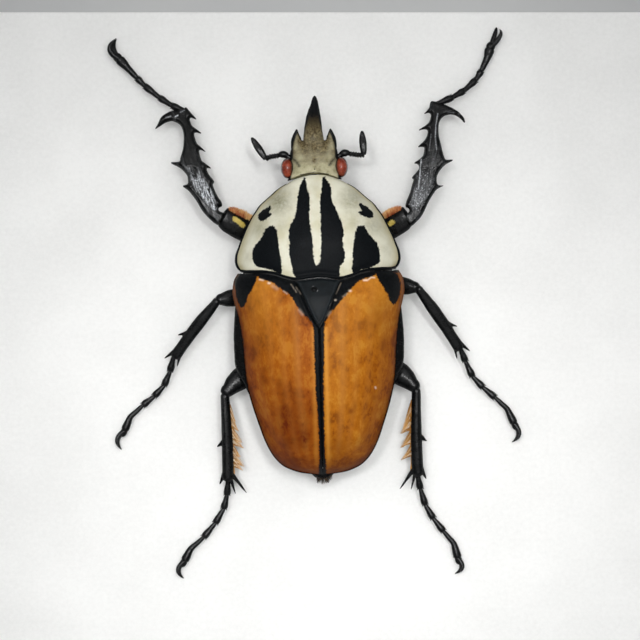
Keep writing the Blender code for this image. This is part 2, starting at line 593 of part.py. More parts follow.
def make_pygidium(parent):
    """The last plate, which closes the body below the tips of the elytra and carries a fringe."""
    front, back, height = PYGIDIUM["front"], PYGIDIUM["back"], PYGIDIUM["height"]
    half_width, half_thick = PYGIDIUM["half_width"], PYGIDIUM["half_thick"]
    rings = []
    for share, size in ((0.0, 1.0), (0.45, 0.9), (0.8, 0.58)):
        middle = Vector((0.0, front + (back - front) * share, height))
        rings.append(oval(middle, Vector((half_width * size, 0, 0)), Vector((0, 0, half_thick * size)), 12))
    piece = add_piece("pygidium", loft(rings, None, Vector((0.0, back, height))), BLACK, parent)
    draw = random.Random(SEED)
    locks = []
    for k in range(APEX["count"]):
        turn = (k / (APEX["count"] - 1) - 0.5) * APEX["arc"]
        root = (0.72 * half_width * math.sin(turn), front - 0.3 - 0.5 * math.cos(turn),
                height + 0.2 + 0.25 * (k % 2))
        size = APEX["length"] * (0.9 + 0.2 * draw.random())
        out = (math.sin(turn) * 0.4, -1.0, 0.1)
        locks.append((lock(root, out, size, APEX["width"], 0.3, APEX["thick"]), None))
    combine(piece, locks, "UNION")


def make_head(parent):
    rings = []
    for y, wide, z, high in HEAD_ROWS:
        ring = []
        for k in range(HEAD_SIDES):
            turn = 2.0 * math.pi * (k + 0.5) / HEAD_SIDES
            x = wide * math.copysign(abs(math.cos(turn)) ** HEAD_SQUARENESS[0], math.cos(turn))
            rise = high * math.copysign(abs(math.sin(turn)) ** HEAD_SQUARENESS[1], math.sin(turn))
            bow = HEAD_BOW * x * x * max(0.0, (HEAD_FRONT - y) / (HEAD_FRONT - HEAD_ROWS[0][0]))
            ring.append(Vector((x + HEAD_SHIFT, y - bow, z + rise)))
        rings.append(ring)
    back = Vector((HEAD_SHIFT, HEAD_ROWS[0][0], HEAD_ROWS[0][2]))
    piece = add_piece("head", loft(rings, back), HEAD_OLIVE, parent)
    spines = []
    for side in (-1, 1):
        root, tip = Vector(CLYPEUS_SPINE["root"]), Vector(CLYPEUS_SPINE["tip"])
        root.x = root.x * side + HEAD_SHIFT
        tip.x = tip.x * side + HEAD_SHIFT
        spines.append((spike(root, tip, CLYPEUS_SPINE["radius"]), None))
    sockets = []
    for side in (-1, 1):
        centre = (side * EYE_CENTRE[0] + HEAD_SHIFT, EYE_CENTRE[1], EYE_CENTRE[2])
        sockets.append((ellipsoid(centre, [radius + GAP for radius in EYE_RADII]), None))
    combine(piece, sockets, "DIFFERENCE")
    combine(piece, spines, "UNION")


def make_horn(parent):
    stations = [(Vector((x, y, z)), wide, high) for x, y, z, wide, high in HORN_PATH]
    add_piece("horn", tube(stations, 10, None, Vector(HORN_TIP)), HEAD_OLIVE, parent)


def make_eyes(parent):
    for name, side in (("l", -1), ("r", 1)):
        centre = (side * EYE_CENTRE[0] + HEAD_SHIFT, EYE_CENTRE[1], EYE_CENTRE[2])
        add_piece("eye_" + name, ellipsoid(centre, EYE_RADII), EYE_BROWN, parent)


def make_antennae(parent):
    """Each antenna: the scape's bulb, a thin beaded stem and a flat club of three leaves."""
    for name, side in (("l", -1), ("r", 1)):
        stations = [(Vector((side * x + HEAD_SHIFT, y, z)), radius, radius)
                    for x, y, z, radius in ANTENNA_JOINTS]
        base, tip = (Vector(end) for end in CLUBS[name])
        for share, wide in CLUB_SHAPE:
            stations.append((base.lerp(tip, share), wide, 0.75 * wide))
        add_piece("antenna_" + name, tube(stations, 6), BLACK, parent)


def make_mouthparts(parent):
    """The chin plate and jaws below the head, with a pair of short feelers."""
    chin = [oval(Vector((0.0, y, z)), Vector((wide, 0, 0)), Vector((0, 0, high)), 10)
            for y, z, wide, high in CHIN]
    piece = add_piece("mouthparts", loft(chin), BLACK, parent)
    feelers = []
    for side in (-1, 1):
        stations = [(Vector((side * x, y, z)), radius, radius) for x, y, z, radius in FEELER]
        feelers.append((tube(stations, 6), None))
    combine(piece, feelers, "UNION")


def leg_points(leg):
    names = ("coxa", "hip", "knee", "ankle")
    return [Vector(leg[name]) for name in names] + [Vector(point) for point in leg["tarsus"]]


def limb_span(leg, part):
    """Where the round ends of a femur or a tibia are centred, so that the knee's two ends lap."""
    coxa, hip, knee, ankle = leg_points(leg)[:4]
    femur, tibia = FEMUR[leg["kind"]], TIBIA[leg["form"]]
    if part == "femur":
        way = (knee - hip).normalized()
        return hip + way * femur[0][2] * KNEE_LAP, knee - way * femur[-1][2] * KNEE_LAP
    way = (ankle - knee).normalized()
    return knee + way * (tibia[0][2] + GAP), ankle - way * tibia[-1][2]


def limb_shape(leg, part, swell=0.0):
    """A femur or a tibia with the frame that it stands in, swollen all round where it clears another."""
    table = FEMUR[leg["kind"]] if part == "femur" else TIBIA[leg["form"]]
    root, tip = limb_span(leg, part)
    stations = [(share, x, wide + swell, high + swell) for share, x, wide, high in table]
    return limb(stations, (tip - root).length, leg["outward"]), limb_frame(root, tip)


def coxa_shape(leg, swell=0.0):
    """The short hip joint, from near the midline out to the root of the femur."""
    coxa, hip = leg_points(leg)[:2]
    radius = FEMUR[leg["kind"]][0][2] + 0.1
    stations = [(share, 0.0, radius * size + swell, radius * size + swell)
                for share, size in ((0.0, 1.0), (0.5, COXA_SWELL), (1.0, 1.0))]
    return limb(stations, (hip - coxa).length, 1), limb_frame(coxa, hip)


def tarsus_shape(leg, swell=0.0):
    """Four cones that widen to their ends and nip in at the next, then the long bent claw joint."""
    points = leg_points(leg)
    way = (points[4] - points[3]).normalized()
    chain = [points[3] - way * (ANKLE_LAP + swell)] + points[4:]
    stations = []
    for start, end in zip(chain[:4], chain[1:5]):
        for share, radius in ((0.06, TARSUS_NECK), (0.72, TARSUS_WIDE * 0.85), (0.92, TARSUS_WIDE)):
            stations.append((start.lerp(end, share), radius))
    start, bend, end = chain[4:]
    stations += [(start.lerp(bend, 0.08), TARSUS_NECK), (bend, CLAW_JOINT * 0.85),
                 (bend.lerp(end, 0.6), CLAW_JOINT), (end, CLAW_JOINT * 0.7)]
    return tube([(centre, radius + swell, radius * 0.9 + swell) for centre, radius in stations], 6), None


def room_for(legs):
    """The closed shapes that clear a part of the trunk for the hips and thighs of some legs."""
    return [shape for leg in legs for shape in (coxa_shape(leg, GAP), limb_shape(leg, "femur", GAP))]


def make_coxa(name, leg, parent):
    shape, frame = coxa_shape(leg)
    piece = add_piece("coxa_" + name, shape, BLACK, parent, frame)
    combine(piece, [limb_shape(leg, "femur", GAP)], "DIFFERENCE")


def make_femur(name, leg, parent):
    shape, frame = limb_shape(leg, "femur")
    piece = add_piece("femur_" + name, shape, BLACK, parent, frame)
    combine(piece, [limb_shape(leg, "tibia", GAP)], "DIFFERENCE")
    if leg["kind"] == "front":
        root, tip = limb_span(leg, "femur")
        combine(piece, [(tuft, frame) for tuft in femur_pad((tip - root).length, -leg["outward"])], "UNION")


def femur_pad(length, forward):
    """The orange brush along the leading edge of the front femur: broad tufts that overlap."""
    draw = random.Random(SEED)
    tufts = []
    for k in range(PAD["count"]):
        run = k / (PAD["count"] - 1)
        share = PAD["first"] + (PAD["last"] - PAD["first"]) * run
        start = (forward * 1.0, share * length, -0.1 - 0.2 * (k % 2))
        size = PAD["length"] * (1.0 - 0.5 * run) * (0.95 + 0.1 * draw.random())
        tufts.append(lock(start, (forward, 0.35, 0.05), size, PAD["width"], 0.3, PAD["thick"]))
    return tufts


def make_tibia(name, leg, parent):
    shape, frame = limb_shape(leg, "tibia")
    piece = add_piece("tibia_" + name, shape, BLACK, parent, frame)
    root, tip = limb_span(leg, "tibia")
    length, outward = (tip - root).length, leg["outward"]
    extras = []
    for root_share, root_out, tip_share, tip_out, radius in SPIKES[leg["form"]]:
        extras.append(spike((outward * root_out, root_share * length, 0.0),
                            (outward * tip_out, tip_share * length, -0.1), radius))
    if leg["kind"] == "front":
        hook = [(Vector((outward * out, share * length, 0.0)), radius, radius * 0.8)
                for share, out, radius in HOOK[leg["form"]]]
        tip_share, tip_out = HOOK_TIP[leg["form"]]
        extras.append(tube(hook, 7, None, Vector((outward * tip_out, tip_share * length, -0.2))))
    combine(piece, [(extra, frame) for extra in extras], "UNION")
    combine(piece, [tarsus_shape(leg, GAP)], "DIFFERENCE")
    if leg["kind"] == "hind":
        combine(piece, [(tuft, frame) for tuft in fringe(length, outward)], "UNION")


def fringe(length, outward):
    """The golden comb of the hind tibia: flat tufts along its inner side that lean to the foot."""
    draw = random.Random(SEED)
    tufts = []
    for k in range(FRINGE["count"]):
        run = k / (FRINGE["count"] - 1)
        share = FRINGE["first"] + (FRINGE["last"] - FRINGE["first"]) * run
        size = FRINGE["length"] * min(1.0, 0.35 + 1.8 * run) * (0.88 + 0.24 * draw.random())
        start = (-outward * 0.6, share * length, 0.28 - 0.28 * (k % 3) + 0.05 * draw.random())
        out = (-outward, 1.9 + 0.5 * draw.random(), 0.05 * (k % 3) - 0.05)
        tufts.append(lock(start, out, size, FRINGE["width"], 0.1, FRINGE["thick"]))
    return tufts


def make_tarsus(name, leg, parent):
    shape, frame = tarsus_shape(leg)
    add_piece("tarsus_" + name, shape, BLACK, parent, frame)


def make_claws(name, leg, parent):
    """A short bulb at the foot's end with two hooked claws, one a little higher than the other."""
    foot, before = Vector(leg["tarsus"][-1]), Vector(leg["tarsus"][-2])
    way = (foot - before).normalized()
    root = foot + way * GAP
    bulb = [(root, 0.6 * CLAW_RADIUS, 0.6 * CLAW_RADIUS), (root + way * 0.3, CLAW_RADIUS, 1.1 * CLAW_RADIUS),
            (root + way * 0.7, 0.7 * CLAW_RADIUS, CLAW_RADIUS)]
    piece = add_piece("claws_" + name, tube(bulb, 8), BLACK, parent)
    hooks = []
    for height, bulge in zip((-1.0, 1.0), leg["bulge"]):
        start = root + way * 0.3 + UP * 0.15 * height
        tip = Vector((leg["claw"][0], leg["claw"][1], root.z + CLAW_SPREAD * height - 0.1))
        across = (tip - start).cross(UP).normalized()
        elbow = start.lerp(tip, 0.4) + across * bulge * 1.6
        stations = []
        for share in CLAW_SHARES:
            point = start.lerp(elbow, share).lerp(elbow.lerp(tip, share), share)
            radius = CLAW_RADIUS * (0.95 - 0.75 * share ** 2)
            stations.append((point, radius, radius))
        hooks.append((tube(stations, 6, None, tip), None))
    combine(piece, hooks, "UNION")


def main():
    clear_scene()
    make_board()
    beetle = bpy.data.objects.new("beetle", None)
    beetle.location = (BEETLE_PLACE[0] * MM, BEETLE_PLACE[1] * MM, BOARD_THICKNESS * MM)
    beetle.rotation_euler = (0.0, 0.0, BEETLE_TURN)
    bpy.context.collection.objects.link(beetle)
    bpy.context.view_layer.update()

    front, mid, hind = ([LEGS[kind + side] for side in ("_l", "_r")] for kind in ("front", "mid", "hind"))
    make_pronotum(beetle)
    make_prosternum(beetle, room_for(front))
    make_scutellum(beetle)
    make_elytron("elytron_l", -1, beetle)
    make_elytron("elytron_r", 1, beetle)
    make_thorax(beetle, room_for(mid + hind))
    make_abdomen(beetle, room_for(hind))
    make_pygidium(beetle)
    make_head(beetle)
    make_horn(beetle)
    make_eyes(beetle)
    make_antennae(beetle)
    make_mouthparts(beetle)
    for name, leg in LEGS.items():
        make_coxa(name, leg, beetle)
        make_femur(name, leg, beetle)
        make_tibia(name, leg, beetle)
        make_tarsus(name, leg, beetle)
        make_claws(name, leg, beetle)


main()
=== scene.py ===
import math
import random
from functools import partial

import bmesh
import bpy
import numpy as np
from mathutils import Matrix, Vector, noise


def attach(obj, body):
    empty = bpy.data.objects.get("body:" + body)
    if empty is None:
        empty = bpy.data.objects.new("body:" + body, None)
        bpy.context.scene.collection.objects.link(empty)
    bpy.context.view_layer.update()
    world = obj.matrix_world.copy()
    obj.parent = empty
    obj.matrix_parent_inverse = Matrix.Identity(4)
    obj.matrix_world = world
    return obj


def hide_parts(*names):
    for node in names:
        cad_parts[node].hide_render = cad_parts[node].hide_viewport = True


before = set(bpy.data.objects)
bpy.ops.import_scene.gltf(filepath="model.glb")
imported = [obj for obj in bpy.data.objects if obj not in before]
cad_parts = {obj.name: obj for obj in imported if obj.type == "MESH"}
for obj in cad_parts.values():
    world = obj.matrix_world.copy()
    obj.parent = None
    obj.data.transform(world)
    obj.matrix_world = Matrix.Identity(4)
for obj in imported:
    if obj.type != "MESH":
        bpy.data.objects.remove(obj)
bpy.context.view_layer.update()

# A dried male flower beetle on its white board. The shapes below are in millimetres in the
# beetle's own frame: the origin is on the midline at the rear edge of the pronotum, level with
# the board's face, +Y runs to the head and +Z up. toWorld puts them on the board, in metres.
mm = 0.001
toWorld = (Matrix.Scale(mm, 4) @ Matrix.Translation((-0.31, 10.49, 5.0))
           @ Matrix.Rotation(math.radians(1.35), 4, "Z"))
up = Vector((0.0, 0.0, 1.0))
gap = 0.3


# Camera and lights

studio = {
    "camera": (0.0, 0.00315, 0.505),
    "lens": 160.9,
    "room": ("#F4F6F8", 0.18),
    # place, size, watts; each is turned toward the beetle
    "softboxes": [((-0.42, 0.20, 0.86), (0.5, 0.8), 1.5), ((0.44, 0.14, 0.86), (0.5, 0.8), 1.35),
                  ((0.0, 0.62, 0.80), (0.8, 0.45), 1.1), ((0.0, -0.62, 0.80), (0.8, 0.45), 0.55)],
    # spot lamps, several and close together, so that the shadows are light and soft: place, watts
    "lamps": [((-0.19, 0.12, 0.95), 14.0), ((0.17, 0.05, 0.96), 11.0), ((-0.06, -0.15, 0.96), 8.5),
              ((0.10, 0.19, 0.94), 10.0)],
    # their shared pool of light, which ends just past the board's far edge
    "pool": {"aim": (0.0, -0.027, 0.0), "cone": 9.8, "blend": 0.6, "size": 0.09},
}


def linear(hexText):
    # an sRGB hex colour as linear light
    channels = [int(hexText[i:i + 2], 16) / 255.0 for i in (1, 3, 5)]
    return tuple(c / 12.92 if c <= 0.04045 else ((c + 0.055) / 1.055) ** 2.4 for c in channels) + (1.0,)


def makeStudio():
    lens = bpy.data.cameras.new("camera")
    lens.sensor_width = 36.0
    lens.lens = studio["lens"]
    lens.clip_start = 0.01
    camera = bpy.data.objects.new("camera", lens)
    camera.location = studio["camera"]
    bpy.context.collection.objects.link(camera)
    bpy.context.scene.camera = camera
    world = bpy.data.worlds.new("room")
    world.use_nodes = True
    colour, strength = studio["room"]
    sky = world.node_tree.nodes["Background"]
    sky.inputs["Color"].default_value = linear(colour)
    sky.inputs["Strength"].default_value = strength
    bpy.context.scene.world = world
    bpy.context.scene.view_settings.view_transform = "Standard"    # plain colours, as in a catalogue shot
    for place, size, watts in studio["softboxes"]:
        light = bpy.data.lights.new("softbox", "AREA")
        light.shape = "RECTANGLE"
        light.size, light.size_y = size
        light.energy = watts
        box = bpy.data.objects.new("softbox", light)
        box.location = place
        box.rotation_euler = (-Vector(place)).to_track_quat("-Z", "Y").to_euler()
        bpy.context.collection.objects.link(box)
    pool = studio["pool"]
    for place, watts in studio["lamps"]:
        light = bpy.data.lights.new("lamp", "SPOT")
        light.energy = watts
        light.spot_size = math.radians(pool["cone"])
        light.spot_blend = pool["blend"]
        light.shadow_soft_size = pool["size"]
        lamp = bpy.data.objects.new("lamp", light)
        lamp.location = place
        lamp.rotation_euler = (Vector(pool["aim"]) - Vector(place)).to_track_quat("-Z", "Y").to_euler()
        bpy.context.collection.objects.link(lamp)


makeStudio()
print("studio set")


# Materials

noiseSpan = {"From Min": 0.3, "From Max": 0.7}    # nearly all of a noise's values lie in this


def setInputs(tree, node, inputs):
    # an input is a plain value or another node's output
    for key, value in inputs.items():
        if isinstance(value, bpy.types.NodeSocket):
            tree.links.new(value, node.inputs[key])
        else:
            node.inputs[key].default_value = value


def addNode(tree, kind, inputs={}, stops=(), out=0, **settings):
    # one node with its settings and links; it hands back the output that is asked for
    node = tree.nodes.new("ShaderNode" + kind)
    for key, value in settings.items():
        setattr(node, key, value)
    setInputs(tree, node, inputs)
    for k, (position, colour) in enumerate(stops):
        ramp = node.color_ramp.elements
        stop = ramp[k] if k < 2 else ramp.new(position)
        stop.position = position
        stop.color = linear(colour)
    return node.outputs[out]


def newMaterial(name, *fields):
    # a blank material, what adds its nodes and sets its shader, the place on the object in
    # millimetres, and the fields that the mesh carries for it
    material = bpy.data.materials.new(name)
    material.use_nodes = True
    tree = material.node_tree
    add = partial(addNode, tree)
    dress = partial(setInputs, tree, tree.nodes["Principled BSDF"])
    place = add("Mapping", {"Vector": add("TexCoord", out="Object"), "Scale": (1.0 / mm,) * 3})
    return material, add, dress, place, [add("Attribute", out="Fac", attribute_name=key) for key in fields]


def coats(add, colour, *layers):
    # colours laid one over another, each with the share of it that shows
    for share, tint in layers:
        tint = linear(tint) if isinstance(tint, str) else tint
        colour = add("Mix", {0: share, 6: colour, 7: tint}, out=2, data_type="RGBA")
    return colour


def raggedMark(add, field, grain, fray, edge):
    # pigment where a field is above its edge, frayed there by the grain
    wobble = add("MapRange", {"Value": grain, **noiseSpan, "To Min": fray[0], "To Max": fray[1]})
    shift = add("Math", {0: field, 1: wobble}, operation="ADD")
    return add("MapRange", {"Value": shift, "From Min": edge[0], "From Max": edge[1]})


def pitBump(add, place, scale, reach, strength, depth):
    # small round pits pressed into a surface, depth in metres
    pits = add("TexVoronoi", {"Vector": place, "Scale": scale, "Randomness": 1.0})
    pit = add("MapRange", {"Value": pits, "From Min": 0.0, "From Max": reach})
    return add("Bump", {"Height": pit, "Strength": strength, "Distance": depth})


def satinShine(add, level):
    # wax and dust take the shine off a surface where it turns away from the eye
    turn = add("LayerWeight", {"Blend": 0.5}, out="Facing")
    return add("MapRange", {"Value": turn, "From Min": 0.25, "From Max": 0.8, "To Min": level, "To Max": 0.0})


def paperBoard():
    # Foam board with a matte white paper face: the face is soft and even, with faint mottling
    # of the pulp, and its cut side shows the foam's fine cells.
    material, add, dress, place, _ = newMaterial("paperFacedFoamBoard")
    cloud = add("TexNoise", {"Vector": place, "Scale": 0.06, "Detail": 4.0})
    pulp = add("TexNoise", {"Vector": place, "Scale": 1.4, "Detail": 6.0, "Roughness": 0.7})
    blend = add("Math", {0: cloud, 1: pulp}, operation="ADD")
    half = add("Math", {0: blend, 1: 0.5}, operation="MULTIPLY")
    face = add("ValToRGB", {"Fac": half}, [(0.38, "#ECECEA"), (0.62, "#F6F6F4")])
    # the paper is within half a millimetre of the top and of the underside
    height = add("SeparateXYZ", {"Vector": place}, out="Z")
    top = add("MapRange", {"Value": height, "From Min": 4.55, "From Max": 4.65})
    low = add("MapRange", {"Value": height, "From Min": 0.45, "From Max": 0.35})
    paper = add("Math", {0: top, 1: low}, operation="MAXIMUM")
    cells = add("TexVoronoi", {"Vector": place, "Scale": 2.2})
    foam = add("ValToRGB", {"Fac": cells}, [(0.1, "#F1F0EC"), (0.7, "#D9D7D0")])
    dress({"Base Color": coats(add, foam, (paper, face)), "IOR": 1.45,
           "Roughness": add("MapRange", {"Value": pulp, "To Min": 0.82, "To Max": 0.95}),
           "Normal": add("Bump", {"Height": pulp, "Strength": 0.12, "Distance": 0.00005})})
    return material


def creamCuticle():
    # Beetle cuticle, hardened in one sheet: a satin cream wax coat with olive clouds. The black
    # marks are pigment under the same coat, with ragged edges, and a little flatter in shine.
    material, add, dress, place, (dark, cloud, rim) = newMaterial("waxedCreamCuticle", "dark", "cloud", "rim")
    soft = add("TexNoise", {"Vector": place, "Scale": 0.3, "Detail": 5.0, "Roughness": 0.55})
    # ragged pigment edge: steps of about 0.3 mm
    ragged = add("TexNoise", {"Vector": place, "Scale": 1.9, "Detail": 4.0, "Roughness": 0.7})
    # fine grain of the wax, 0.15 mm, drawn at that size because it only just shows
    grain = add("TexNoise", {"Vector": place, "Scale": 6.0, "Detail": 3.0})
    cream = add("ValToRGB", {"Fac": soft}, [(0.32, "#D2CDB0"), (0.66, "#E8E6D3"), (0.5, "#DEDBC6")])
    olive = add("Math", {0: cloud, 1: ragged}, operation="MULTIPLY")
    olive = add("Math", {0: olive, 1: 1.7}, operation="MULTIPLY", use_clamp=True)
    ink = add("ValToRGB", {"Fac": grain}, [(0.35, "#0A0C0E"), (0.75, "#14181B")])
    mark = raggedMark(add, dark, ragged, (-0.16, 0.16), (-0.05, 0.07))
    pits = pitBump(add, place, 2.4, 0.22, 0.16, 0.00004)
    dress({"Base Color": coats(add, cream, (olive, "#7F7D64"), (rim, "#BDB07C"), (mark, ink)),
           "Roughness": add("MapRange", {"Value": grain, "To Min": 0.36, "To Max": 0.56}),
           "Normal": add("Bump", {"Height": grain, "Strength": 0.15, "Distance": 0.00004, "Normal": pits}),
           "IOR": 1.5, "Specular IOR Level": satinShine(add, 0.06)})
    return material


def amberCuticle():
    # Wing case of a dried beetle: clear amber cuticle over brown flesh, so it mottles like old
    # varnish, with faint lengthwise ribs, black pigment at its seams, chips and a few pale flecks.
    material, add, dress, place, (dark, warm, rib, deep, glow, pale, stain) = newMaterial(
        "amberWingCase", "dark", "warm", "rib", "deep", "glow", "pale", "stain")
    # blotches of about 4 mm, freckles of about 0.7 mm drawn out along the wing case
    blotch = add("TexNoise", {"Vector": place, "Scale": 0.26, "Detail": 6.0, "Roughness": 0.62})
    stretched = add("Mapping", {"Vector": place, "Scale": (1.0, 0.45, 1.0)})
    freckle = add("TexNoise", {"Vector": stretched, "Scale": 1.5, "Detail": 6.0, "Roughness": 0.72,
                               "Distortion": 0.4})
    ragged = add("TexNoise", {"Vector": place, "Scale": 2.2, "Detail": 4.0, "Roughness": 0.7})
    fine = add("TexNoise", {"Vector": place, "Scale": 7.0, "Detail": 3.0})
    half = add("Mix", {0: 0.4, 2: blotch, 3: freckle})
    amber = add("ValToRGB", {"Fac": half},
                [(0.4, "#824004"), (0.58, "#C48428"), (0.47, "#AA620D"), (0.53, "#B86F15")])
    russet = add("ValToRGB", {"Fac": half},
                 [(0.4, "#6A2C02"), (0.58, "#AE6218"), (0.47, "#8D3F07"), (0.53, "#9E4E0E")])
    # the freckles break up the stains
    patchy = add("MapRange", {"Value": freckle, **noiseSpan, "To Min": 0.3, "To Max": 1.6})
    stain = add("Math", {0: stain, 1: patchy}, operation="MULTIPLY", use_clamp=True)
    # pale flecks stand in a few of the cells of a pattern of about 2 mm
    cells = add("TexVoronoi", {"Vector": place, "Scale": 0.42, "Randomness": 1.0})
    fleck = add("MapRange", {"Value": cells, "From Min": 0.06, "From Max": 0.04})
    chosen = add("SeparateColor", {"Color": cells.node.outputs["Color"]})
    few = add("Math", {0: chosen, 1: 0.8}, operation="GREATER_THAN")
    fleck = add("Math", {0: fleck, 1: few}, operation="MULTIPLY")
    ink = add("ValToRGB", {"Fac": ragged}, [(0.35, "#060708"), (0.75, "#15181B")])
    mark = raggedMark(add, dark, ragged, (-0.2, 0.2), (-0.1, 0.08))
    wave = add("Bump", {"Height": freckle, "Strength": 0.2, "Distance": 0.00008})
    # painted light and shade: the light amber is a painted highlight, the rib colour a painted sheen, the
    # deep brown painted shade, and the russet also carries painted shade
    dress({"Base Color": coats(add, amber, (warm, russet), (glow, "#DC993C"), (rib, "#BA7C38"),
                               (deep, "#582602"), (stain, "#5E240A"), (fleck, "#E2C490"), (mark, ink),
                               (pale, "#EFDCC6")),
           "Roughness": add("MapRange", {"Value": freckle, "To Min": 0.32, "To Max": 0.5}),
           "Normal": add("Bump", {"Height": fine, "Strength": 0.12, "Distance": 0.00004, "Normal": wave}),
           "IOR": 1.5, "Specular IOR Level": satinShine(add, 0.06)})
    return material


def blackCuticle(name, colours, roughness, shine, pitScale, pitDepth, grit):
    # Black beetle cuticle: hard, glassy and faintly blue, pricked with small pits. Worn or
    # wrinkled parts are given a rougher, greyer setting of the same recipe.
    material, add, dress, place, (worn, tan, sunk, pale) = newMaterial(name, "worn", "tan", "sunk", "pale")
    cloud = add("TexNoise", {"Vector": place, "Scale": 0.8, "Detail": 6.0, "Roughness": 0.65})
    fine = add("TexNoise", {"Vector": place, "Scale": grit, "Detail": 4.0, "Roughness": 0.7})
    shade = add("ValToRGB", {"Fac": cloud}, [(0.35, colours[0]), (0.7, colours[1])])
    ochre = add("ValToRGB", {"Fac": cloud}, [(0.3, "#9C8636"), (0.7, "#CDB865")])
    scratch = add("MapRange", {"Value": fine, "From Min": 0.38, "From Max": 0.66,
                               "To Min": 0.25, "To Max": 1.25})
    rubbedAndSheen = add("Math", {0: scratch, 1: worn}, operation="MULTIPLY", use_clamp=True)
    patch = raggedMark(add, tan, fine, (-0.22, 0.12), (0.95, 1.1))
    rough = add("MapRange", {"Value": cloud, **noiseSpan, "To Min": roughness[0], "To Max": roughness[1]})
    pits = pitBump(add, place, pitScale, 0.35, pitDepth, 0.00006)
    # the rubbed colour greys worn cuticle, and on the front shins its pale colour is painted sheen; the pale
    # dots are painted highlights, and the near-black is painted shade in a hole
    dress({"Base Color": coats(add, shade, (rubbedAndSheen, colours[2]), (patch, ochre), (pale, "#E4E6E6"),
                               (sunk, "#050505")),
           "Roughness": add("Math", {0: rubbedAndSheen, 1: 0.35, 2: rough}, operation="MULTIPLY_ADD", use_clamp=True),
           "Normal": add("Bump", {"Height": fine, "Strength": 0.1, "Distance": 0.00005, "Normal": pits}),
           "IOR": 1.52, "Specular IOR Level": satinShine(add, shine)})
    return material


def mottledCuticle():
    # Head shield: thin waxy cuticle, cream at the back and clouded olive brown up the horn, with
    # a black horn tip and black rolled edges.
    material, add, dress, place, (dark, brown) = newMaterial("mottledHeadCuticle", "dark", "brown")
    cloud = add("TexNoise", {"Vector": place, "Scale": 0.55, "Detail": 6.0, "Roughness": 0.65})
    ragged = add("TexNoise", {"Vector": place, "Scale": 2.4, "Detail": 5.0, "Roughness": 0.7})
    cream = add("ValToRGB", {"Fac": cloud}, [(0.35, "#878060"), (0.62, "#CFCAA8")])
    tan = add("ValToRGB", {"Fac": ragged}, [(0.32, "#352B1C"), (0.68, "#91835C"), (0.5, "#62563E")])
    drift = add("MapRange", {"Value": cloud, **noiseSpan, "To Min": -0.25, "To Max": 0.25})
    amount = add("Math", {0: brown, 1: drift}, operation="ADD", use_clamp=True)
    mark = raggedMark(add, dark, ragged, (-0.18, 0.18), (-0.25, 0.25))
    dress({"Base Color": coats(add, cream, (amount, tan), (mark, "#0E0F11")),
           "Roughness": add("MapRange", {"Value": ragged, "To Min": 0.36, "To Max": 0.6}),
           "Normal": pitBump(add, place, 2.6, 0.3, 0.3, 0.00005),
           "IOR": 1.5, "Specular IOR Level": satinShine(add, 0.16)})
    return material


def eyeLens():
    # Compound eye: clear hard facets over red-brown pigment, glassy, darker where it turns under
    # its socket. Real facets are 0.03 mm, drawn here at 0.09 mm so that they show.
    material, add, dress, place, (dark,) = newMaterial("facetedEye", "dark")
    cloud = add("TexNoise", {"Vector": place, "Scale": 0.9, "Detail": 3.0})
    red = add("ValToRGB", {"Fac": cloud}, [(0.35, "#6A2411"), (0.68, "#A5452A")])
    facets = add("TexVoronoi", {"Vector": place, "Scale": 11.0, "Randomness": 0.25})
    # the dark field is painted shade, toward the socket and round the rim
    dress({"Base Color": coats(add, red, (dark, "#1E0F0B")),
           "Roughness": add("MapRange", {"Value": facets, "To Min": 0.16, "To Max": 0.34}),
           "Normal": add("Bump", {"Height": facets, "Strength": 0.12, "Distance": 0.00002}, invert=True),
           "Coat Weight": 0.3, "Coat Roughness": 0.12})
    return material


def bristle(name, rootColour, tipColour, paleColour):
    # Stiff insect bristles: horny hairs with a satin shine, darker at the root, some bleached.
    material, add, dress, place, (tip, tone) = newMaterial(name, "tip", "tone")
    hue = add("ValToRGB", {"Fac": tip}, [(0.05, rootColour), (0.85, tipColour)])
    # low tones take the root's colour and high tones the pale one; on the pads these tones are painted shade
    # between the tufts and painted light on them
    deep = add("MapRange", {"Value": tone, "From Max": 0.3, "To Min": 0.85, "To Max": 0.0})
    pale = add("MapRange", {"Value": tone, "From Min": 0.55, "From Max": 1.0, "To Max": 0.75})
    grain = add("TexNoise", {"Vector": place, "Scale": 9.0, "Detail": 2.0})
    dress({"Base Color": coats(add, hue, (deep, rootColour), (pale, paleColour)),
           "Roughness": add("MapRange", {"Value": tone, "To Min": 0.42, "To Max": 0.6}),
           "Normal": add("Bump", {"Height": grain, "Strength": 0.2, "Distance": 0.00002})})
    return material


finish = {
    "board": paperBoard(),
    "cream": creamCuticle(),
    "amber": amberCuticle(),
    "head": mottledCuticle(),
    "eye": eyeLens(),
    # dark, light and rubbed colour (on the front shins, a pale painted sheen), range of roughness, shine,
    # pits, their depth, grit
    "black": blackCuticle("glossyBlackCuticle", ("#040505", "#090A0B", "#1C1E20"), (0.2, 0.32),
                          0.26, 1.5, 0.14, 4.0),
    "slate": blackCuticle("satinSlateCuticle", ("#0F1315", "#181D20", "#34393C"), (0.4, 0.52),
                          0.12, 3.2, 0.3, 5.0),
    "pitted": blackCuticle("pittedBlackCuticle", ("#040505", "#090A0B", "#E2E6EB"), (0.16, 0.26),
                           0.16, 2.0, 0.2, 4.5),
    # colours of the root, the tip and the bleached hairs
    "golden": bristle("goldenBristle", "#94601F", "#EBB566", "#FFF2D8"),
    "rust": bristle("rustBristle", "#8A3A12", "#D2824A", "#FFDC92"),
    "umber": bristle("umberBristle", "#15100B", "#3A2815", "#8A6A3C"),
}
print("materials made")


# Mesh helpers

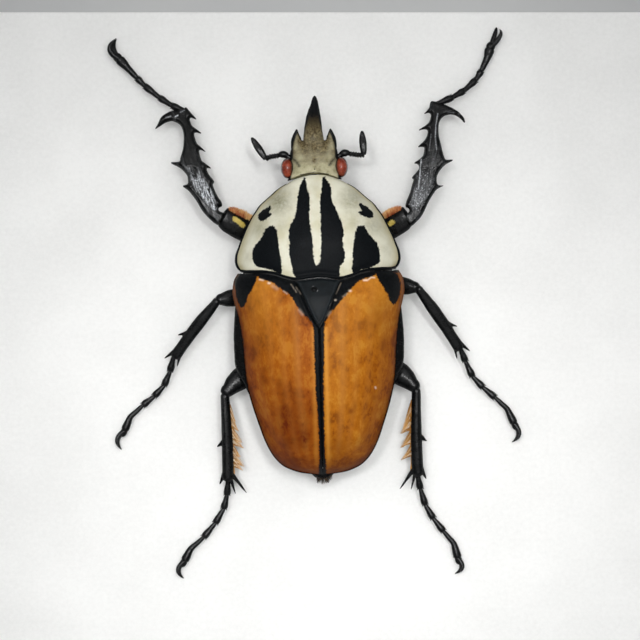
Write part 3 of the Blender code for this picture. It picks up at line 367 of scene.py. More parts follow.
def curve(knots, t):
    # a smooth curve through the knots that never overshoots them
    keys, values = (np.array(column, dtype=float) for column in zip(*knots))
    rises = np.diff(values) / np.diff(keys)
    slopes = np.empty(len(keys))
    slopes[0], slopes[-1] = rises[0], rises[-1]
    product = rises[:-1] * rises[1:]
    total = np.where(product > 0.0, rises[:-1] + rises[1:], 1.0)
    slopes[1:-1] = np.where(product > 0.0, 2.0 * product / total, 0.0)
    t = np.clip(np.asarray(t, dtype=float), keys[0], keys[-1])
    i = np.clip(np.searchsorted(keys, t, side="right") - 1, 0, len(rises) - 1)
    span = keys[i + 1] - keys[i]
    u = (t - keys[i]) / span
    return ((2 * u ** 3 - 3 * u ** 2 + 1) * values[i] + (u ** 3 - 2 * u ** 2 + u) * span * slopes[i]
            + (3 * u ** 2 - 2 * u ** 3) * values[i + 1] + (u ** 3 - u ** 2) * span * slopes[i + 1])


def columnsOf(table, t):
    # every column of a table of stations, smoothed and read at t
    return [curve([(row[0], row[k]) for row in table], t) for k in range(1, len(table[0]))]


def smoothLoop(points, steps=6):
    # a rounded closed outline through a few points
    points = np.array(points, dtype=float)
    before, after, beyond = np.roll(points, 1, 0), np.roll(points, -1, 0), np.roll(points, -2, 0)
    loop = []
    for t in np.arange(steps) / steps:
        loop.append(0.5 * (2 * points + (after - before) * t
                           + (2 * before - 5 * points + 4 * after - beyond) * t ** 2
                           + (3 * points - before - 3 * after + beyond) * t ** 3))
    return np.stack(loop, axis=1).reshape(-1, 2)


def depthInside(x, y, outline):
    # how far inside an outline each place lies, and below 0 outside it
    loop = smoothLoop(outline)
    best = np.full(np.shape(x), 1e9)
    inside = np.zeros(np.shape(x), dtype=bool)
    for (ax, ay), (bx, by) in zip(loop, np.roll(loop, -1, 0)):
        dx, dy = bx - ax, by - ay
        share = np.clip(((x - ax) * dx + (y - ay) * dy) / (dx * dx + dy * dy + 1e-12), 0.0, 1.0)
        best = np.minimum(best, np.hypot(x - ax - share * dx, y - ay - share * dy))
        if dy:
            inside ^= ((ay > y) != (by > y)) & (x < ax + dx * (y - ay) / dy)
    return np.where(inside, best, -best)


def lineDistance(x, y, a, b):
    # how far each place is from the line between two points
    dx, dy = b[0] - a[0], b[1] - a[1]
    t = np.clip(((x - a[0]) * dx + (y - a[1]) * dy) / (dx * dx + dy * dy + 1e-9), 0.0, 1.0)
    return np.hypot(x - a[0] - t * dx, y - a[1] - t * dy)


def bell(distance, width):
    return np.exp(-(distance / width) ** 2)


def dabs(x, y, table):
    # soft dabs added up, each given by its middle, its reach across and along, and its strength
    return sum(strength * bell(x - atX, across) * bell(y - atY, along)
               for atX, atY, across, along, strength in table)


def makePart(points, faces, **fields):
    points = np.asarray(points, dtype=float).reshape(-1, 3)
    full = {key: np.broadcast_to(np.ravel(value), (len(points),)) for key, value in fields.items()}
    return points, faces, full


def joinParts(parts):
    # several closed shapes as one; a field that a shape lacks is 0 on it
    points, faces, fields, start = [], [], {}, 0
    keys = {key for part in parts for key in part[2]}
    for these, those, values in parts:
        points.append(these)
        faces += [tuple(i + start for i in face) for face in those]
        for key in keys:
            fields.setdefault(key, []).append(values.get(key, np.zeros(len(these))))
        start += len(these)
    return np.concatenate(points), faces, {key: np.concatenate(value) for key, value in fields.items()}


def loft(rings, start=None, end=None, **fields):
    # a closed skin over rings of points; each end is a fan to its middle or to a given tip
    rings = np.asarray(rings, dtype=float)
    rows, count = rings.shape[:2]
    faces = bandFaces(rows, count)
    tips = [rings[0].mean(0) if start is None else start, rings[-1].mean(0) if end is None else end]
    last = rows * count
    for i in range(count):
        j = (i + 1) % count
        faces.append((last, j, i))
        faces.append((last + 1, last - count + i, last - count + j))
    for key in fields:
        value = np.broadcast_to(fields[key], (rows, count))
        fields[key] = np.concatenate([value.ravel(), [value[0].mean(), value[-1].mean()]])
    return makePart(np.concatenate([rings.reshape(-1, 3), np.array(tips, dtype=float)]), faces, **fields)


def bandFaces(rows, count):
    faces = []
    for r in range(rows - 1):
        low, high = r * count, (r + 1) * count
        for i in range(count):
            j = (i + 1) % count
            faces.append((low + i, low + j, high + j, high + i))
    return faces


def shell(top, under, **fields):
    # a thin closed plate between an upper and a lower grid of points
    rings = np.concatenate([top, under[:, ::-1]], axis=1)
    rows, count = rings.shape[:2]
    faces = bandFaces(rows, count)
    for low in (0, (rows - 1) * count):
        for i in range(count // 2 - 1):
            faces.append((low + i, low + i + 1, low + count - 2 - i, low + count - 1 - i))
    for key in fields:
        value = np.broadcast_to(fields[key], top.shape[:2])
        fields[key] = np.concatenate([value, value[:, ::-1]], axis=1)
    return makePart(rings, faces, **fields)


def tube(centres, wides, highs, sides, start=None, end=None, **fields):
    # a tube along a path: across the path it is wide on the level and high upwards
    centres = np.asarray(centres, dtype=float)
    along = np.gradient(centres, axis=0)
    along /= np.linalg.norm(along, axis=1)[:, None]
    across = np.cross(along, up)
    across /= np.linalg.norm(across, axis=1)[:, None]
    rise = np.cross(across, along)
    turns = 2.0 * np.pi * np.arange(sides) / sides
    wides, highs = np.broadcast_to(wides, len(centres)), np.broadcast_to(highs, len(centres))
    rings = (centres[:, None] + (across * wides[:, None])[:, None] * np.cos(turns)[None, :, None]
             + (rise * highs[:, None])[:, None] * np.sin(turns)[None, :, None])
    return loft(rings, start, end, **{key: np.broadcast_to(value, len(centres))[:, None]
                                      for key, value in fields.items()})


def smoothPath(points, rows):
    # a smooth path of any number of columns through the points, by length
    points = np.array(points, dtype=float)
    run = np.concatenate([[0.0], np.cumsum(np.linalg.norm(np.diff(points[:, :3], axis=0), axis=1))])
    before = np.vstack([2 * points[0] - points[1], points])
    after = np.vstack([points, 2 * points[-1] - points[-2]])
    t = np.linspace(0.0, run[-1], rows)
    i = np.clip(np.searchsorted(run, t, side="right") - 1, 0, len(points) - 2)
    u = ((t - run[i]) / (run[i + 1] - run[i]))[:, None]
    p0, p1, p2, p3 = before[i], points[i], points[i + 1], after[i + 2]
    return 0.5 * (2 * p1 + (p2 - p0) * u + (2 * p0 - 5 * p1 + 4 * p2 - p3) * u ** 2
                  + (3 * p1 - p0 - 3 * p2 + p3) * u ** 3)


def tubeAlong(stations, rows, sides, flat=1.0):
    # a tube through stations of place, half width and, where it differs, half height
    path = smoothPath(stations, rows)
    return tube(path[:, :3], path[:, 3], path[:, -1] * flat, sides)


def egg(centre, radii, sides=40, rows=26):
    # an ellipsoid with its poles on the X axis
    turns = np.pi * (np.arange(rows) + 0.5) / rows
    angles = 2.0 * np.pi * np.arange(sides) / sides
    x = np.broadcast_to((-np.cos(turns) * radii[0])[:, None], (rows, sides))
    y = np.sin(turns)[:, None] * np.cos(angles) * radii[1]
    z = np.sin(turns)[:, None] * np.sin(angles) * radii[2]
    centre = np.array(centre, dtype=float)
    pole = np.array((radii[0], 0.0, 0.0))
    return loft(np.stack([x, y, z], axis=2) + centre, centre - pole, centre + pole)


def toMesh(name, part):
    points, faces, fields = part
    mesh = bpy.data.meshes.new(name)
    mesh.from_pydata(points.tolist(), [], faces)
    bm = bmesh.new()
    bm.from_mesh(mesh)
    bmesh.ops.recalc_face_normals(bm, faces=bm.faces)
    bm.to_mesh(mesh)
    bm.free()
    for key, values in fields.items():
        layer = mesh.attributes.new(key, "FLOAT", "POINT")
        layer.data.foreach_set("value", np.ascontiguousarray(values, dtype=np.float32))
    return mesh


def places(mesh):
    values = np.empty(len(mesh.vertices) * 3, dtype=np.float32)
    mesh.vertices.foreach_get("co", values)
    return values.reshape(-1, 3).astype(float)


def setField(mesh, key, values):
    layer = mesh.attributes.get(key) or mesh.attributes.new(key, "FLOAT", "POINT")
    layer.data.foreach_set("value", np.ascontiguousarray(np.broadcast_to(values, len(mesh.vertices)),
                                                         dtype=np.float32))


def push(mesh, depths):
    # move each point along its normal
    normals = np.empty(len(mesh.vertices) * 3, dtype=np.float32)
    mesh.vertex_normals.foreach_get("vector", normals)
    moved = places(mesh) + normals.reshape(-1, 3) * np.asarray(depths)[:, None]
    mesh.vertices.foreach_set("co", moved.astype(np.float32).ravel())
    mesh.update()


def ripple(points, scale, stretch=(1.0, 1.0, 1.0), octaves=3):
    # smooth noise from about -1 to 1 at each point
    grid = points * scale * np.array(stretch)
    return np.array([noise.fractal(Vector(point), 1.0, 2.0, octaves) for point in grid])


def changed(name, mesh, *modifiers):
    # the mesh after some modifiers, each given as (kind, its settings)
    piece = bpy.data.objects.new(name, mesh)
    bpy.context.collection.objects.link(piece)
    for kind, settings in modifiers:
        modifier = piece.modifiers.new(kind, kind)
        for key, value in settings.items():
            setattr(modifier, key, value)
    graph = bpy.context.evaluated_depsgraph_get()
    graph.update()
    made = bpy.data.meshes.new_from_object(piece.evaluated_get(graph))
    bpy.data.objects.remove(piece, do_unlink=True)
    return made


def fuse(name, part, voxel, soften):
    # one even skin over overlapping shapes, softened where they meet
    return changed(name, toMesh(name, part), ("REMESH", {"mode": "VOXEL", "voxel_size": voxel}),
                   ("SMOOTH", {"factor": 0.5, "iterations": soften}))


def addPiece(name, mesh, look, nodes=(), stand=None, sharp=55.0, wave=None):
    # put a mesh on the board as one piece of the model; wave is the depth of its skin's slow
    # unevenness and how many of its swells go to a millimetre
    if wave:
        push(mesh, wave[0] * ripple(places(mesh), wave[1]))
    mesh.transform(toWorld @ stand if stand is not None else toWorld)
    mesh.shade_smooth()
    mesh.set_sharp_from_angle(angle=math.radians(sharp))
    mesh.materials.clear()
    mesh.materials.append(finish[look])
    piece = bpy.data.objects.new(name, mesh)
    bpy.context.collection.objects.link(piece)
    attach(piece, "root")
    if nodes:
        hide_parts(*nodes)
    return piece


# Pronotum

pronotum = {
    # heights run from the rear to the front, widths by place; sway bends the rear edge
    "mesh": (230, 170), "rear": 1.2, "front": 16.1, "bow": 1.3,
    "width": [(1.2, 13.2), (1.9, 13.85), (3.0, 14.2), (4.0, 14.1), (5.4, 13.6), (7.4, 12.8), (8.8, 12.15),
              (10.2, 11.4), (11.4, 10.6), (12.5, 9.8), (13.3, 8.85), (14.3, 7.7), (15.3, 6.5), (16.1, 5.1)],
    "sway": [(0.0, 0.0), (0.14, -0.2), (0.28, -0.4), (0.42, 0.0), (0.55, 0.6), (0.72, 0.95), (0.92, 1.0),
             (1.0, 1.2)],
    "crest": [(0.0, 17.2), (0.3, 17.5), (0.6, 16.3), (0.85, 14.3), (1.0, 12.9)],
    "edge": [(0.0, 10.2), (0.15, 9.3), (0.5, 8.5), (0.8, 9.0), (1.0, 10.0)],
    "keel": [(0.0, 3.4), (0.4, 2.6), (0.8, 4.2), (1.0, 6.6)],
    "rim": 0.8, "inset": [(1.2, 0.42), (3.0, 0.4), (6.0, 0.28), (16.1, 0.16)],
    # the bead's radius at the rear, then along the sides from their rear corner
    "rearBead": 0.26, "sideBead": [(0.0, 0.3), (0.35, 0.22), (1.0, 0.14)],
    # outlines of the black marks, seen from above, then the olive clouds, given as dabs
    "centre": [(-1.9, 17.1), (-2.25, 16.6), (-3.0, 14.7), (-3.3, 12.5), (-3.5, 11.0), (-4.0, 9.7),
               (-4.7, 8.2), (-4.75, 5.8), (-4.8, 3.8), (-4.4, 1.9), (-4.0, 0.2), (-2.2, -1.2), (2.0, -1.2),
               (3.6, 0.0), (3.75, 1.4), (4.6, 3.2), (4.3, 5.9), (4.5, 7.3), (4.2, 9.0), (3.4, 11.1),
               (2.6, 13.1), (2.5, 15.2), (1.8, 16.6), (1.4, 17.1), (1.1, 16.6), (0.9, 14.9), (0.65, 13.0),
               (0.6, 9.6), (0.65, 6.0), (0.5, 3.6), (0.15, 2.2), (-0.2, 1.9), (-0.5, 2.2), (-0.75, 3.6),
               (-0.8, 6.0), (-1.2, 9.6), (-1.15, 13.1), (-1.5, 15.0)],
    "sides": [[(-7.4, 8.8), (-8.6, 8.4), (-9.6, 6.7), (-10.8, 5.3), (-11.1, 3.7), (-10.7, 2.2), (-9.5, 1.75),
               (-7.8, 1.25), (-6.2, 0.6), (-6.2, 3.0), (-6.5, 4.9), (-6.8, 7.8)],
              [(7.0, 8.4), (8.1, 8.4), (8.7, 7.2), (10.1, 5.5), (10.6, 3.9), (10.4, 2.2), (9.1, 1.4),
               (7.4, 1.0), (5.8, 0.5), (5.9, 2.7), (6.0, 4.6), (6.5, 7.5)]],
    "spots": [[(-7.8, 12.3), (-7.8, 11.6), (-8.0, 11.2), (-7.6, 10.7), (-8.3, 10.3), (-9.2, 9.7),
               (-10.0, 10.1), (-9.9, 11.0), (-8.9, 11.8)],
              [(7.3, 12.5), (8.4, 11.9), (9.6, 10.8), (9.5, 9.9), (8.9, 9.8), (7.6, 10.2), (7.1, 10.8),
               (7.6, 11.1), (7.3, 11.7)]],
    "clouds": [(-6.4, 13.0, 2.3, 2.3, 0.75), (6.0, 13.0, 2.1, 2.1, 0.6), (-9.6, 8.4, 1.6, 1.6, 0.45),
               (9.4, 8.4, 1.8, 1.8, 0.45), (-11.8, 3.4, 1.2, 1.2, 0.25), (11.9, 4.2, 1.2, 1.2, 0.2),
               (0.0, 15.5, 1.0, 1.0, 0.12), (-5.8, 8.8, 1.2, 1.2, 0.2), (6.2, 9.0, 1.2, 1.2, 0.22)],
}


def dome(share):
    return np.maximum(1.0 - np.abs(share) ** 2.4, 0.0) ** 0.62


def pronotumPlan(across, rows):
    # places on the pronotum's plan, with their shares of the half width and of the length
    u = np.sin(np.pi / 2.0 * np.linspace(-1.0, 1.0, across + 1))[None, :]
    s = np.linspace(0.0, 1.0, rows + 1)[:, None]
    rear = curve(pronotum["sway"], np.abs(u))
    front = pronotum["front"] + pronotum["bow"] * (1.0 - u * u)
    side = pronotum["rear"] + (pronotum["front"] - pronotum["rear"]) * s
    wide = curve(pronotum["width"], side)
    return u * wide, rear + (front - rear) * s, np.broadcast_to(u, (rows + 1, across + 1)), s, wide


def makePronotum():
    rimX, y, u, s, wide = pronotumPlan(*pronotum["mesh"])
    edge, crest = curve(pronotum["edge"], s), curve(pronotum["crest"], s)
    z = edge + (crest - edge) * dome(u)
    side = pronotum["rear"] + (pronotum["front"] - pronotum["rear"]) * s
    x = u * (wide - curve(pronotum["inset"], side))
    fromRear = y - y[0]
    fromFront = y[-1] - y
    fromSide = (1.0 - np.abs(u)) * wide
    z = z - 0.35 * bell(fromRear, 0.35) - 0.45 * bell(fromFront, 0.35) - 0.1 * bell(fromRear - 0.75, 0.35)
    z = z + 0.05 * np.sin(x * 0.9 + 0.4) * np.sin(y * 0.7)
    top = np.stack([x, y, z], axis=2)
    under = np.stack([x * 0.97, y, np.broadcast_to(edge - pronotum["rim"], x.shape)], axis=2)
    dark = depthInside(x, y, pronotum["centre"])
    for outline in pronotum["sides"] + pronotum["spots"]:
        dark = np.maximum(dark, depthInside(x, y, outline))
    rim = 0.55 * bell(fromSide, 0.9) + 0.25 * bell(fromRear, 0.6)
    plate = shell(top, under, dark=dark, cloud=dabs(x, y, pronotum["clouds"]), rim=rim)

    # the black bead that rolls round the sides and the rear
    low = edge[:, 0] - 0.15
    left = np.stack([rimX[::-1, 0], y[::-1, 0], low[::-1]], axis=1)
    right = np.stack([rimX[:, -1], y[:, -1], low], axis=1)
    rear = np.stack([rimX[0], y[0], z[0] - 0.05], axis=1)
    path = smoothPath(np.concatenate([left[::6], rear[6:-6:6], right[::6]]), 420)
    share = np.linspace(-1.0, 1.0, len(path))
    outness = np.abs(np.abs(share) - 0.29) / 0.71
    radius = np.where(np.abs(share) < 0.33, pronotum["rearBead"], curve(pronotum["sideBead"], outness))
    inward = np.cross(np.gradient(path, axis=0), up)
    inward /= -np.linalg.norm(inward, axis=1)[:, None]
    bead = tube(path + inward * radius[:, None] * 0.8, radius, radius * 1.15, 10, dark=1.0)
    mesh = toMesh("pronotum", joinParts([plate, bead]))
    addPiece("pronotum_shell", mesh, "cream", ["pronotum"], sharp=70.0, wave=(0.03, 0.55))


makePronotum()
print("pronotum made")


# Wing cases, scutellum and the back that they share

back = {
    "front": 0.7, "apex": -33.8, "swayReach": 4.0, "thick": 0.8,
    "width": [(-33.8, 1.3), (-33.4, 3.9), (-33.0, 5.2), (-32.2, 6.8), (-30.6, 8.35), (-28.2, 9.65),
              (-24.8, 10.85), (-21.6, 11.85), (-17.3, 12.8), (-11.8, 13.2), (-6.8, 13.75), (-3.6, 14.5),
              (-2.3, 14.7), (-0.6, 14.45), (0.7, 13.7)],
    "crest": [(-33.8, 9.3), (-32.6, 11.4), (-30.0, 14.2), (-26.0, 16.9), (-20.0, 18.8), (-12.0, 19.5),
              (-5.0, 19.2), (0.7, 17.8)],
    "edge": [(-33.8, 7.8), (-28.0, 8.2), (-20.0, 8.8), (-12.0, 10.2), (-4.0, 10.4), (0.7, 11.4)],
    # dabs of height: the swellings at the shoulder and at the rear
    "knobs": [(11.0, -3.0, 2.6, 2.6, 0.5), (6.6, -27.6, 2.2, 2.2, 0.9)],
}
scutellum = {
    "mesh": (110, 70),
    "width": [(-8.5, 0.0), (-6.9, 1.0), (-4.5, 2.05), (-2.6, 2.75), (-1.0, 3.2), (0.7, 3.75)],
    # the dots are painted highlights on the slate, two by the pin's hole and one near the tip
    "tip": -8.5, "highlightDots": [(-0.85, -1.78), (-0.3, -2.35), (-0.5, -8.0)],
    # the old pin's hole: its place and radius, then radius, height and shade of the rings of its rim
    "pin": (-0.75, -2.25, 0.3), "pinSides": 28,
    "crater": [(0.6, -0.14, 0.5), (0.52, 0.0, 0.7), (0.44, 0.05, 0.8), (0.36, 0.02, 0.9),
               (0.3, -0.12, 1.0), (0.27, -0.6, 1.0), (0.05, -0.7, 1.0)],
}
elytra = {
    "mesh": (250, 96),
    "ribs": [(0.3, 0.75), (0.47, 0.5), (0.63, 0.4), (0.8, 0.25)],    # share of the width, strength
    "warm": {-1: 0.85, 1: 0.25}, "seamHighlight": {-1: 0.45, 1: 0.7},    # the left case is redder; the painted highlight along the seam is fainter on it
    # pale chips, and painted highlight lines on the black beside the scutellum: two ends, half width,
    # strength
    "chipsAndHighlights": {-1: [((-9.9, -0.25), (-9.3, -0.4), 0.14, 0.7), ((-8.4, -0.9), (-8.2, -0.95), 0.17, 0.95),
                   ((-7.7, -1.4), (-7.0, -1.9), 0.3, 0.2), ((-5.9, -2.3), (-5.3, -2.8), 0.12, 0.4),
                   ((-3.3, -5.6), (-2.8, -6.3), 0.25, 0.22), ((-4.6, -1.2), (-3.7, -2.6), 0.08, 0.25),
                   ((-3.8, -1.7), (-3.0, -2.9), 0.08, 0.18)],
              1: [((7.7, -0.8), (8.25, -0.8), 0.15, 0.95), ((8.4, -0.75), (8.9, -0.38), 0.11, 0.8),
                  ((8.95, -0.34), (9.5, -0.4), 0.12, 0.75), ((5.25, -2.55), (5.4, -2.55), 0.17, 0.85),
                  ((4.1, -3.5), (4.8, -3.0), 0.15, 0.2), ((2.75, -4.08), (2.85, -4.03), 0.12, 0.7),
                  ((1.9, -6.0), (1.5, -6.6), 0.2, 0.2),
                  ((3.8, -1.2), (2.9, -3.0), 0.08, 0.24), ((3.1, -1.5), (2.4, -2.5), 0.08, 0.18),
                  ((9.25, -19.0), (9.3, -19.05), 0.13, 1.0)]},
    # browner stains, given as dabs
    "stains": {-1: [(-9.6, -17.5, 0.8, 1.0, 0.5), (-7.0, -17.9, 0.55, 1.1, 0.55),
                    (-9.3, -15.4, 0.7, 0.7, 0.35), (-6.2, -24.5, 0.8, 4.6, 0.45),
                    (-4.6, -24.5, 3.8, 5.6, 0.55), (-3.0, -27.5, 0.8, 1.6, 0.4),
                    (-7.3, -1.9, 0.3, 0.4, 0.5), (-11.6, -13.0, 1.0, 2.6, 0.3)],
               1: [(10.9, -11.9, 0.7, 1.2, 0.5), (5.0, -22.9, 0.5, 0.6, 0.55), (5.7, -21.9, 0.4, 0.6, 0.35),
                   (9.0, -20.6, 0.5, 0.8, 0.4), (2.6, -29.0, 1.6, 2.0, 0.3), (9.6, -7.0, 1.4, 3.2, 0.25)]},
    "spots": {-1: [(-14.1, 0.4), (-10.6, 0.3), (-10.8, -1.0), (-11.3, -2.0), (-11.9, -2.9), (-12.3, -4.0),
                   (-13.0, -4.9), (-13.6, -4.4), (-14.1, -2.6)],
              1: [(9.9, 0.4), (10.5, -1.3), (11.6, -3.1), (12.2, -4.5), (12.8, -5.0), (13.5, -4.1),
                  (14.0, -2.6), (13.9, -1.0), (13.0, 0.6)]},
    # the black that frames the scutellum and runs down the seam
    "seams": {-1: [(-10.4, 1.0), (-9.7, -0.1), (-7.8, -0.8), (-6.5, -1.8), (-4.6, -3.3), (-3.7, -4.9),
                   (-2.6, -6.3), (-1.5, -7.4), (-1.0, -8.8), (-0.95, -13.5), (-0.85, -18.8), (-0.6, -24.0),
                   (-0.5, -29.2), (-0.5, -35.0), (2.0, -35.0), (2.0, -15.0), (2.0, 2.0), (-5.0, 2.0)],
              1: [(10.2, 1.0), (9.5, 0.0), (7.0, -0.9), (5.4, -2.4), (3.9, -4.0), (2.4, -5.7), (1.4, -7.0),
                  (0.85, -8.6), (0.7, -13.5), (0.45, -18.8), (0.45, -24.0), (0.45, -29.2), (0.45, -35.0),
                  (-2.0, -35.0), (-2.0, -15.0), (-2.0, 2.0), (5.0, 2.0)]},
}


def backHeight(x, y, inset=0.0):
    wide = curve(back["width"], y) - inset
    crest, edge = curve(back["crest"], y) - inset, curve(back["edge"], y)
    share = np.minimum(np.abs(x) / wide, 1.0)
    bumps = dabs(np.abs(x), y, back["knobs"]) * np.minimum(1.0, 3.0 * (1.0 - share))
    return edge + (crest - edge) * dome(share) + bumps


def sway(x, y):
    # how far a row shifts along the body, so that the first one follows the pronotum's rear edge
    edge = curve(pronotum["sway"], np.minimum(np.abs(x) / pronotum["width"][0][1], 1.0)) - gap
    return (edge - back["front"]) * np.maximum(0.0, 1.0 + (y - back["front"]) / back["swayReach"])


def makeElytron(name, side):
    rows, columns = elytra["mesh"]
    run = (1.0 - np.cos(np.pi * np.linspace(0.0, 1.0, rows + 1))) / 2.0
    length = back["front"] - back["apex"]

    def grid(y, inset):
        wide = curve(back["width"], y) - inset
        beside = curve(scutellum["width"], y) + 0.12
        inner = np.where(y > scutellum["tip"], beside, 0.03)
        t = np.sin(np.pi / 2.0 * np.linspace(0.0, 1.0, columns + 1))[None, :]
        x = inner[:, None] + (wide - inner)[:, None] * t
        rowY = np.broadcast_to(y[:, None], x.shape)
        return x, rowY, backHeight(x, rowY, inset), inner[:, None], wide[:, None]

    y = back["front"] - length * run
    x, rowY, z, inner, wide = grid(y, 0.0)
    share = x / wide
    lengthwise = np.clip((back["front"] - rowY) / length, 0.0, 1.0)
    ends = np.clip(lengthwise * 6.0, 0.0, 1.0) * np.clip((1.0 - lengthwise) * 5.0, 0.0, 1.0)
    rib = sum(strength * bell(share - at, 0.035) for at, strength in elytra["ribs"]) * ends
    fromSeam = x - inner
    behind = rowY < scutellum["tip"]
    z = z + 0.07 * rib
    z = z + np.where(behind, 0.12 * bell(fromSeam - 0.35, 0.3) - 0.12 * bell(fromSeam, 0.1),
                     0.16 * bell(fromSeam - 0.55, 0.22) - 0.3 * bell(fromSeam, 0.22))
    z = z - 0.3 * bell(back["front"] - rowY, 0.4)
    shiftedY = rowY + sway(x, rowY)
    top = np.stack([x * side, shiftedY, z], axis=2)
    sunk = back["front"] + (y - back["front"]) * (length - back["thick"]) / length
    lowX, lowY, lowZ, _, _ = grid(sunk, back["thick"])
    under = np.stack([lowX * side, lowY + sway(lowX, lowY), lowZ], axis=2)
    planX = x * side
    dark = np.maximum(depthInside(planX, shiftedY, elytra["spots"][side]),
                      depthInside(planX, shiftedY, elytra["seams"][side]))
    fromSide = wide - x
    rimmed = np.clip((-6.0 - rowY) / 4.0, 0.0, 1.0)
    dark = np.maximum(dark, 0.22 * rimmed - fromSide)
    dark = np.maximum(dark, 0.5 - (back["front"] - rowY))
    toApex = np.clip(lengthwise * 9.0 - 8.0, 0.0, 1.0)
    # painted shade: darker along the sides, toward the apex and to the rear
    deep = 0.45 * bell(fromSide, 0.7) + 0.24 * bell(fromSide, 3.0) + 0.6 * toApex + 0.14 * lengthwise
    # the left case is redder, and the russet adds more painted shade to the rear and along the sides
    warm = elytra["warm"][side] * (0.6 + 0.4 * lengthwise) + 0.25 * bell(fromSide, 2.0)
    # painted highlight: lighter toward the front, along the seam behind the scutellum, and over the right
    # case
    glow = 0.42 * np.clip(1.0 - lengthwise * 2.2, 0.0, 1.0) * bell(fromSide - 4.5, 3.2)
    glow = glow + elytra["seamHighlight"][side] * behind * bell(fromSeam - 1.0, 0.4) * (1.0 - toApex)
    if side > 0:
        glow = glow + 0.3 * bell(x - 3.2, 1.6) * (1.0 - lengthwise)
    pale = 0.05 * np.clip((rowY + 6.5) / 1.5, 0.0, 1.0) * np.clip((0.55 - fromSide) / 0.1, 0.0, 1.0)
    deep = deep + 1.5 * pale
    for a, b, width, strength in elytra["chipsAndHighlights"][side]:
        pale = np.maximum(pale, strength * bell(lineDistance(planX, shiftedY, a, b), width))
    stain = dabs(planX, shiftedY, elytra["stains"][side])
    # painted sheen: lighter stripes along the ribs
    ribSheen = sum(strength * bell(share - at, 0.055) for at, strength in elytra["ribs"]) * ends
    plate = shell(top, under, dark=dark, deep=np.clip(deep, 0.0, 1.0), warm=np.clip(warm, 0.0, 1.0),
                  rib=ribSheen * 0.6, glow=glow, pale=pale, stain=stain)

    # the rolled outer margin, tan at the shoulder and black behind it
    edgeLine = np.stack([(wide[:, 0] - 0.1) * side, shiftedY[:, -1], z[:, -1] - 0.02], axis=1)
    path = smoothPath(edgeLine[2:-2:4], 320)
    blackness = np.clip((-5.0 - path[:, 1]) / 3.0, -1.0, 1.0)
    margin = tube(path, 0.13, 0.2, 8, dark=blackness, deep=0.5, warm=0.6,
                  pale=np.where(blackness < 0.0, 0.06, 0.0))
    mesh = toMesh(name, joinParts([plate, margin]))
    push(mesh, 0.03 * ripple(places(mesh), 0.3, (1.0, 0.4, 1.0)))
    addPiece(name + "_case", mesh, "amber", [name], sharp=60.0)


def makeScutellum():
    rows, columns = scutellum["mesh"]
    y = np.linspace(back["front"], scutellum["tip"] + 0.12, rows + 1)[:, None]
    half = np.maximum(curve(scutellum["width"], y), 0.04)
    x = half * np.sin(np.pi / 2.0 * np.linspace(-1.0, 1.0, columns + 1))[None, :]
    rowY = np.broadcast_to(y, x.shape)
    z = backHeight(x, rowY)
    fromSide = half - np.abs(x)
    z = z - 0.35 * bell(fromSide, 0.16) + 0.06 * bell(fromSide - 0.45, 0.2)
    z = z - 0.12 * bell(np.abs(x), half * 0.55) - 0.25 * bell(back["front"] - rowY, 0.3)
    top = np.stack([x, rowY + sway(x, rowY), z], axis=2)
    under = top - np.array((0.0, 0.0, 0.8))
    worn = 0.35 * bell(fromSide - 0.3, 0.3)
    pinX, pinY, radius = scutellum["pin"]
    fromPin = np.hypot(top[:, :, 0] - pinX, top[:, :, 1] - pinY)
    top[:, :, 2] -= 1.2 * np.clip((radius - fromPin) / 0.08, 0.0, 1.0)
    # painted shade darkens the pin's hole, and the dots are painted highlights
    sunk = np.clip((radius + 0.12 - fromPin) / 0.06, 0.0, 1.0)
    pale = sum(bell(np.hypot(top[:, :, 0] - dotX, top[:, :, 1] - dotY), 0.12)
               for dotX, dotY in scutellum["highlightDots"])
    plate = shell(top, under, worn=worn, sunk=sunk, pale=pale)

    # the hole of the old pin, a small crater with a rolled rim
    level = float(backHeight(np.array(pinX), np.array(pinY))) - 0.1
    sides = scutellum["pinSides"]
    turns = 2.0 * np.pi * np.arange(sides) / sides
    rings = [np.stack([pinX + r * np.cos(turns), pinY + r * np.sin(turns), np.full(sides, level + h)], axis=1)
             for r, h, _ in scutellum["crater"]]
    crater = loft(rings, (pinX, pinY, level - 0.75), (pinX, pinY, level - 0.72), worn=0.1,
                  sunk=np.array([row[2] for row in scutellum["crater"]])[:, None])
    mesh = toMesh("scutellum", joinParts([plate, crater]))
    addPiece("scutellum_plate", mesh, "slate", ["scutellum"], sharp=70.0)


makeElytron("elytron_l", -1)
makeElytron("elytron_r", 1)
makeScutellum()
print("wing cases made")


# Trunk and underside

trunk = {
    "width": [(-33.0, 4.6), (-30.0, 7.9), (-25.0, 10.2), (-20.0, 12.0), (-17.0, 13.6), (-14.6, 14.5),
              (-11.0, 14.6), (-6.5, 14.3), (-3.5, 13.8), (0.7, 12.4)],
    "keel": [(-33.0, 5.6), (-30.0, 3.6), (-25.0, 2.2), (-16.0, 1.5), (-11.5, 0.6), (-6.0, 0.6), (0.7, 2.4)],
    "shift": -0.15, "inset": 1.22, "flank": 0.45, "side": (0.4, 1.4, 2.0), "belly": (0.96, 0.8, 0.55, 0.28),
    "segments": [-16.8, -20.2, -23.6, -26.8, -29.8], "step": 0.3,
    # the blunt spur between the middle hips: place along the body, height, half width, half height
    "process": [(-5.5, 1.5, 0.9, 0.8), (-1.5, 1.6, 0.9, 0.8), (0.9, 1.8, 0.75, 0.55),
                (1.6, 1.8, 0.3, 0.3)],
    "pygidium": {"front": -33.1, "back": -34.8, "height": 6.0, "wide": 2.1, "thick": 1.5},
}


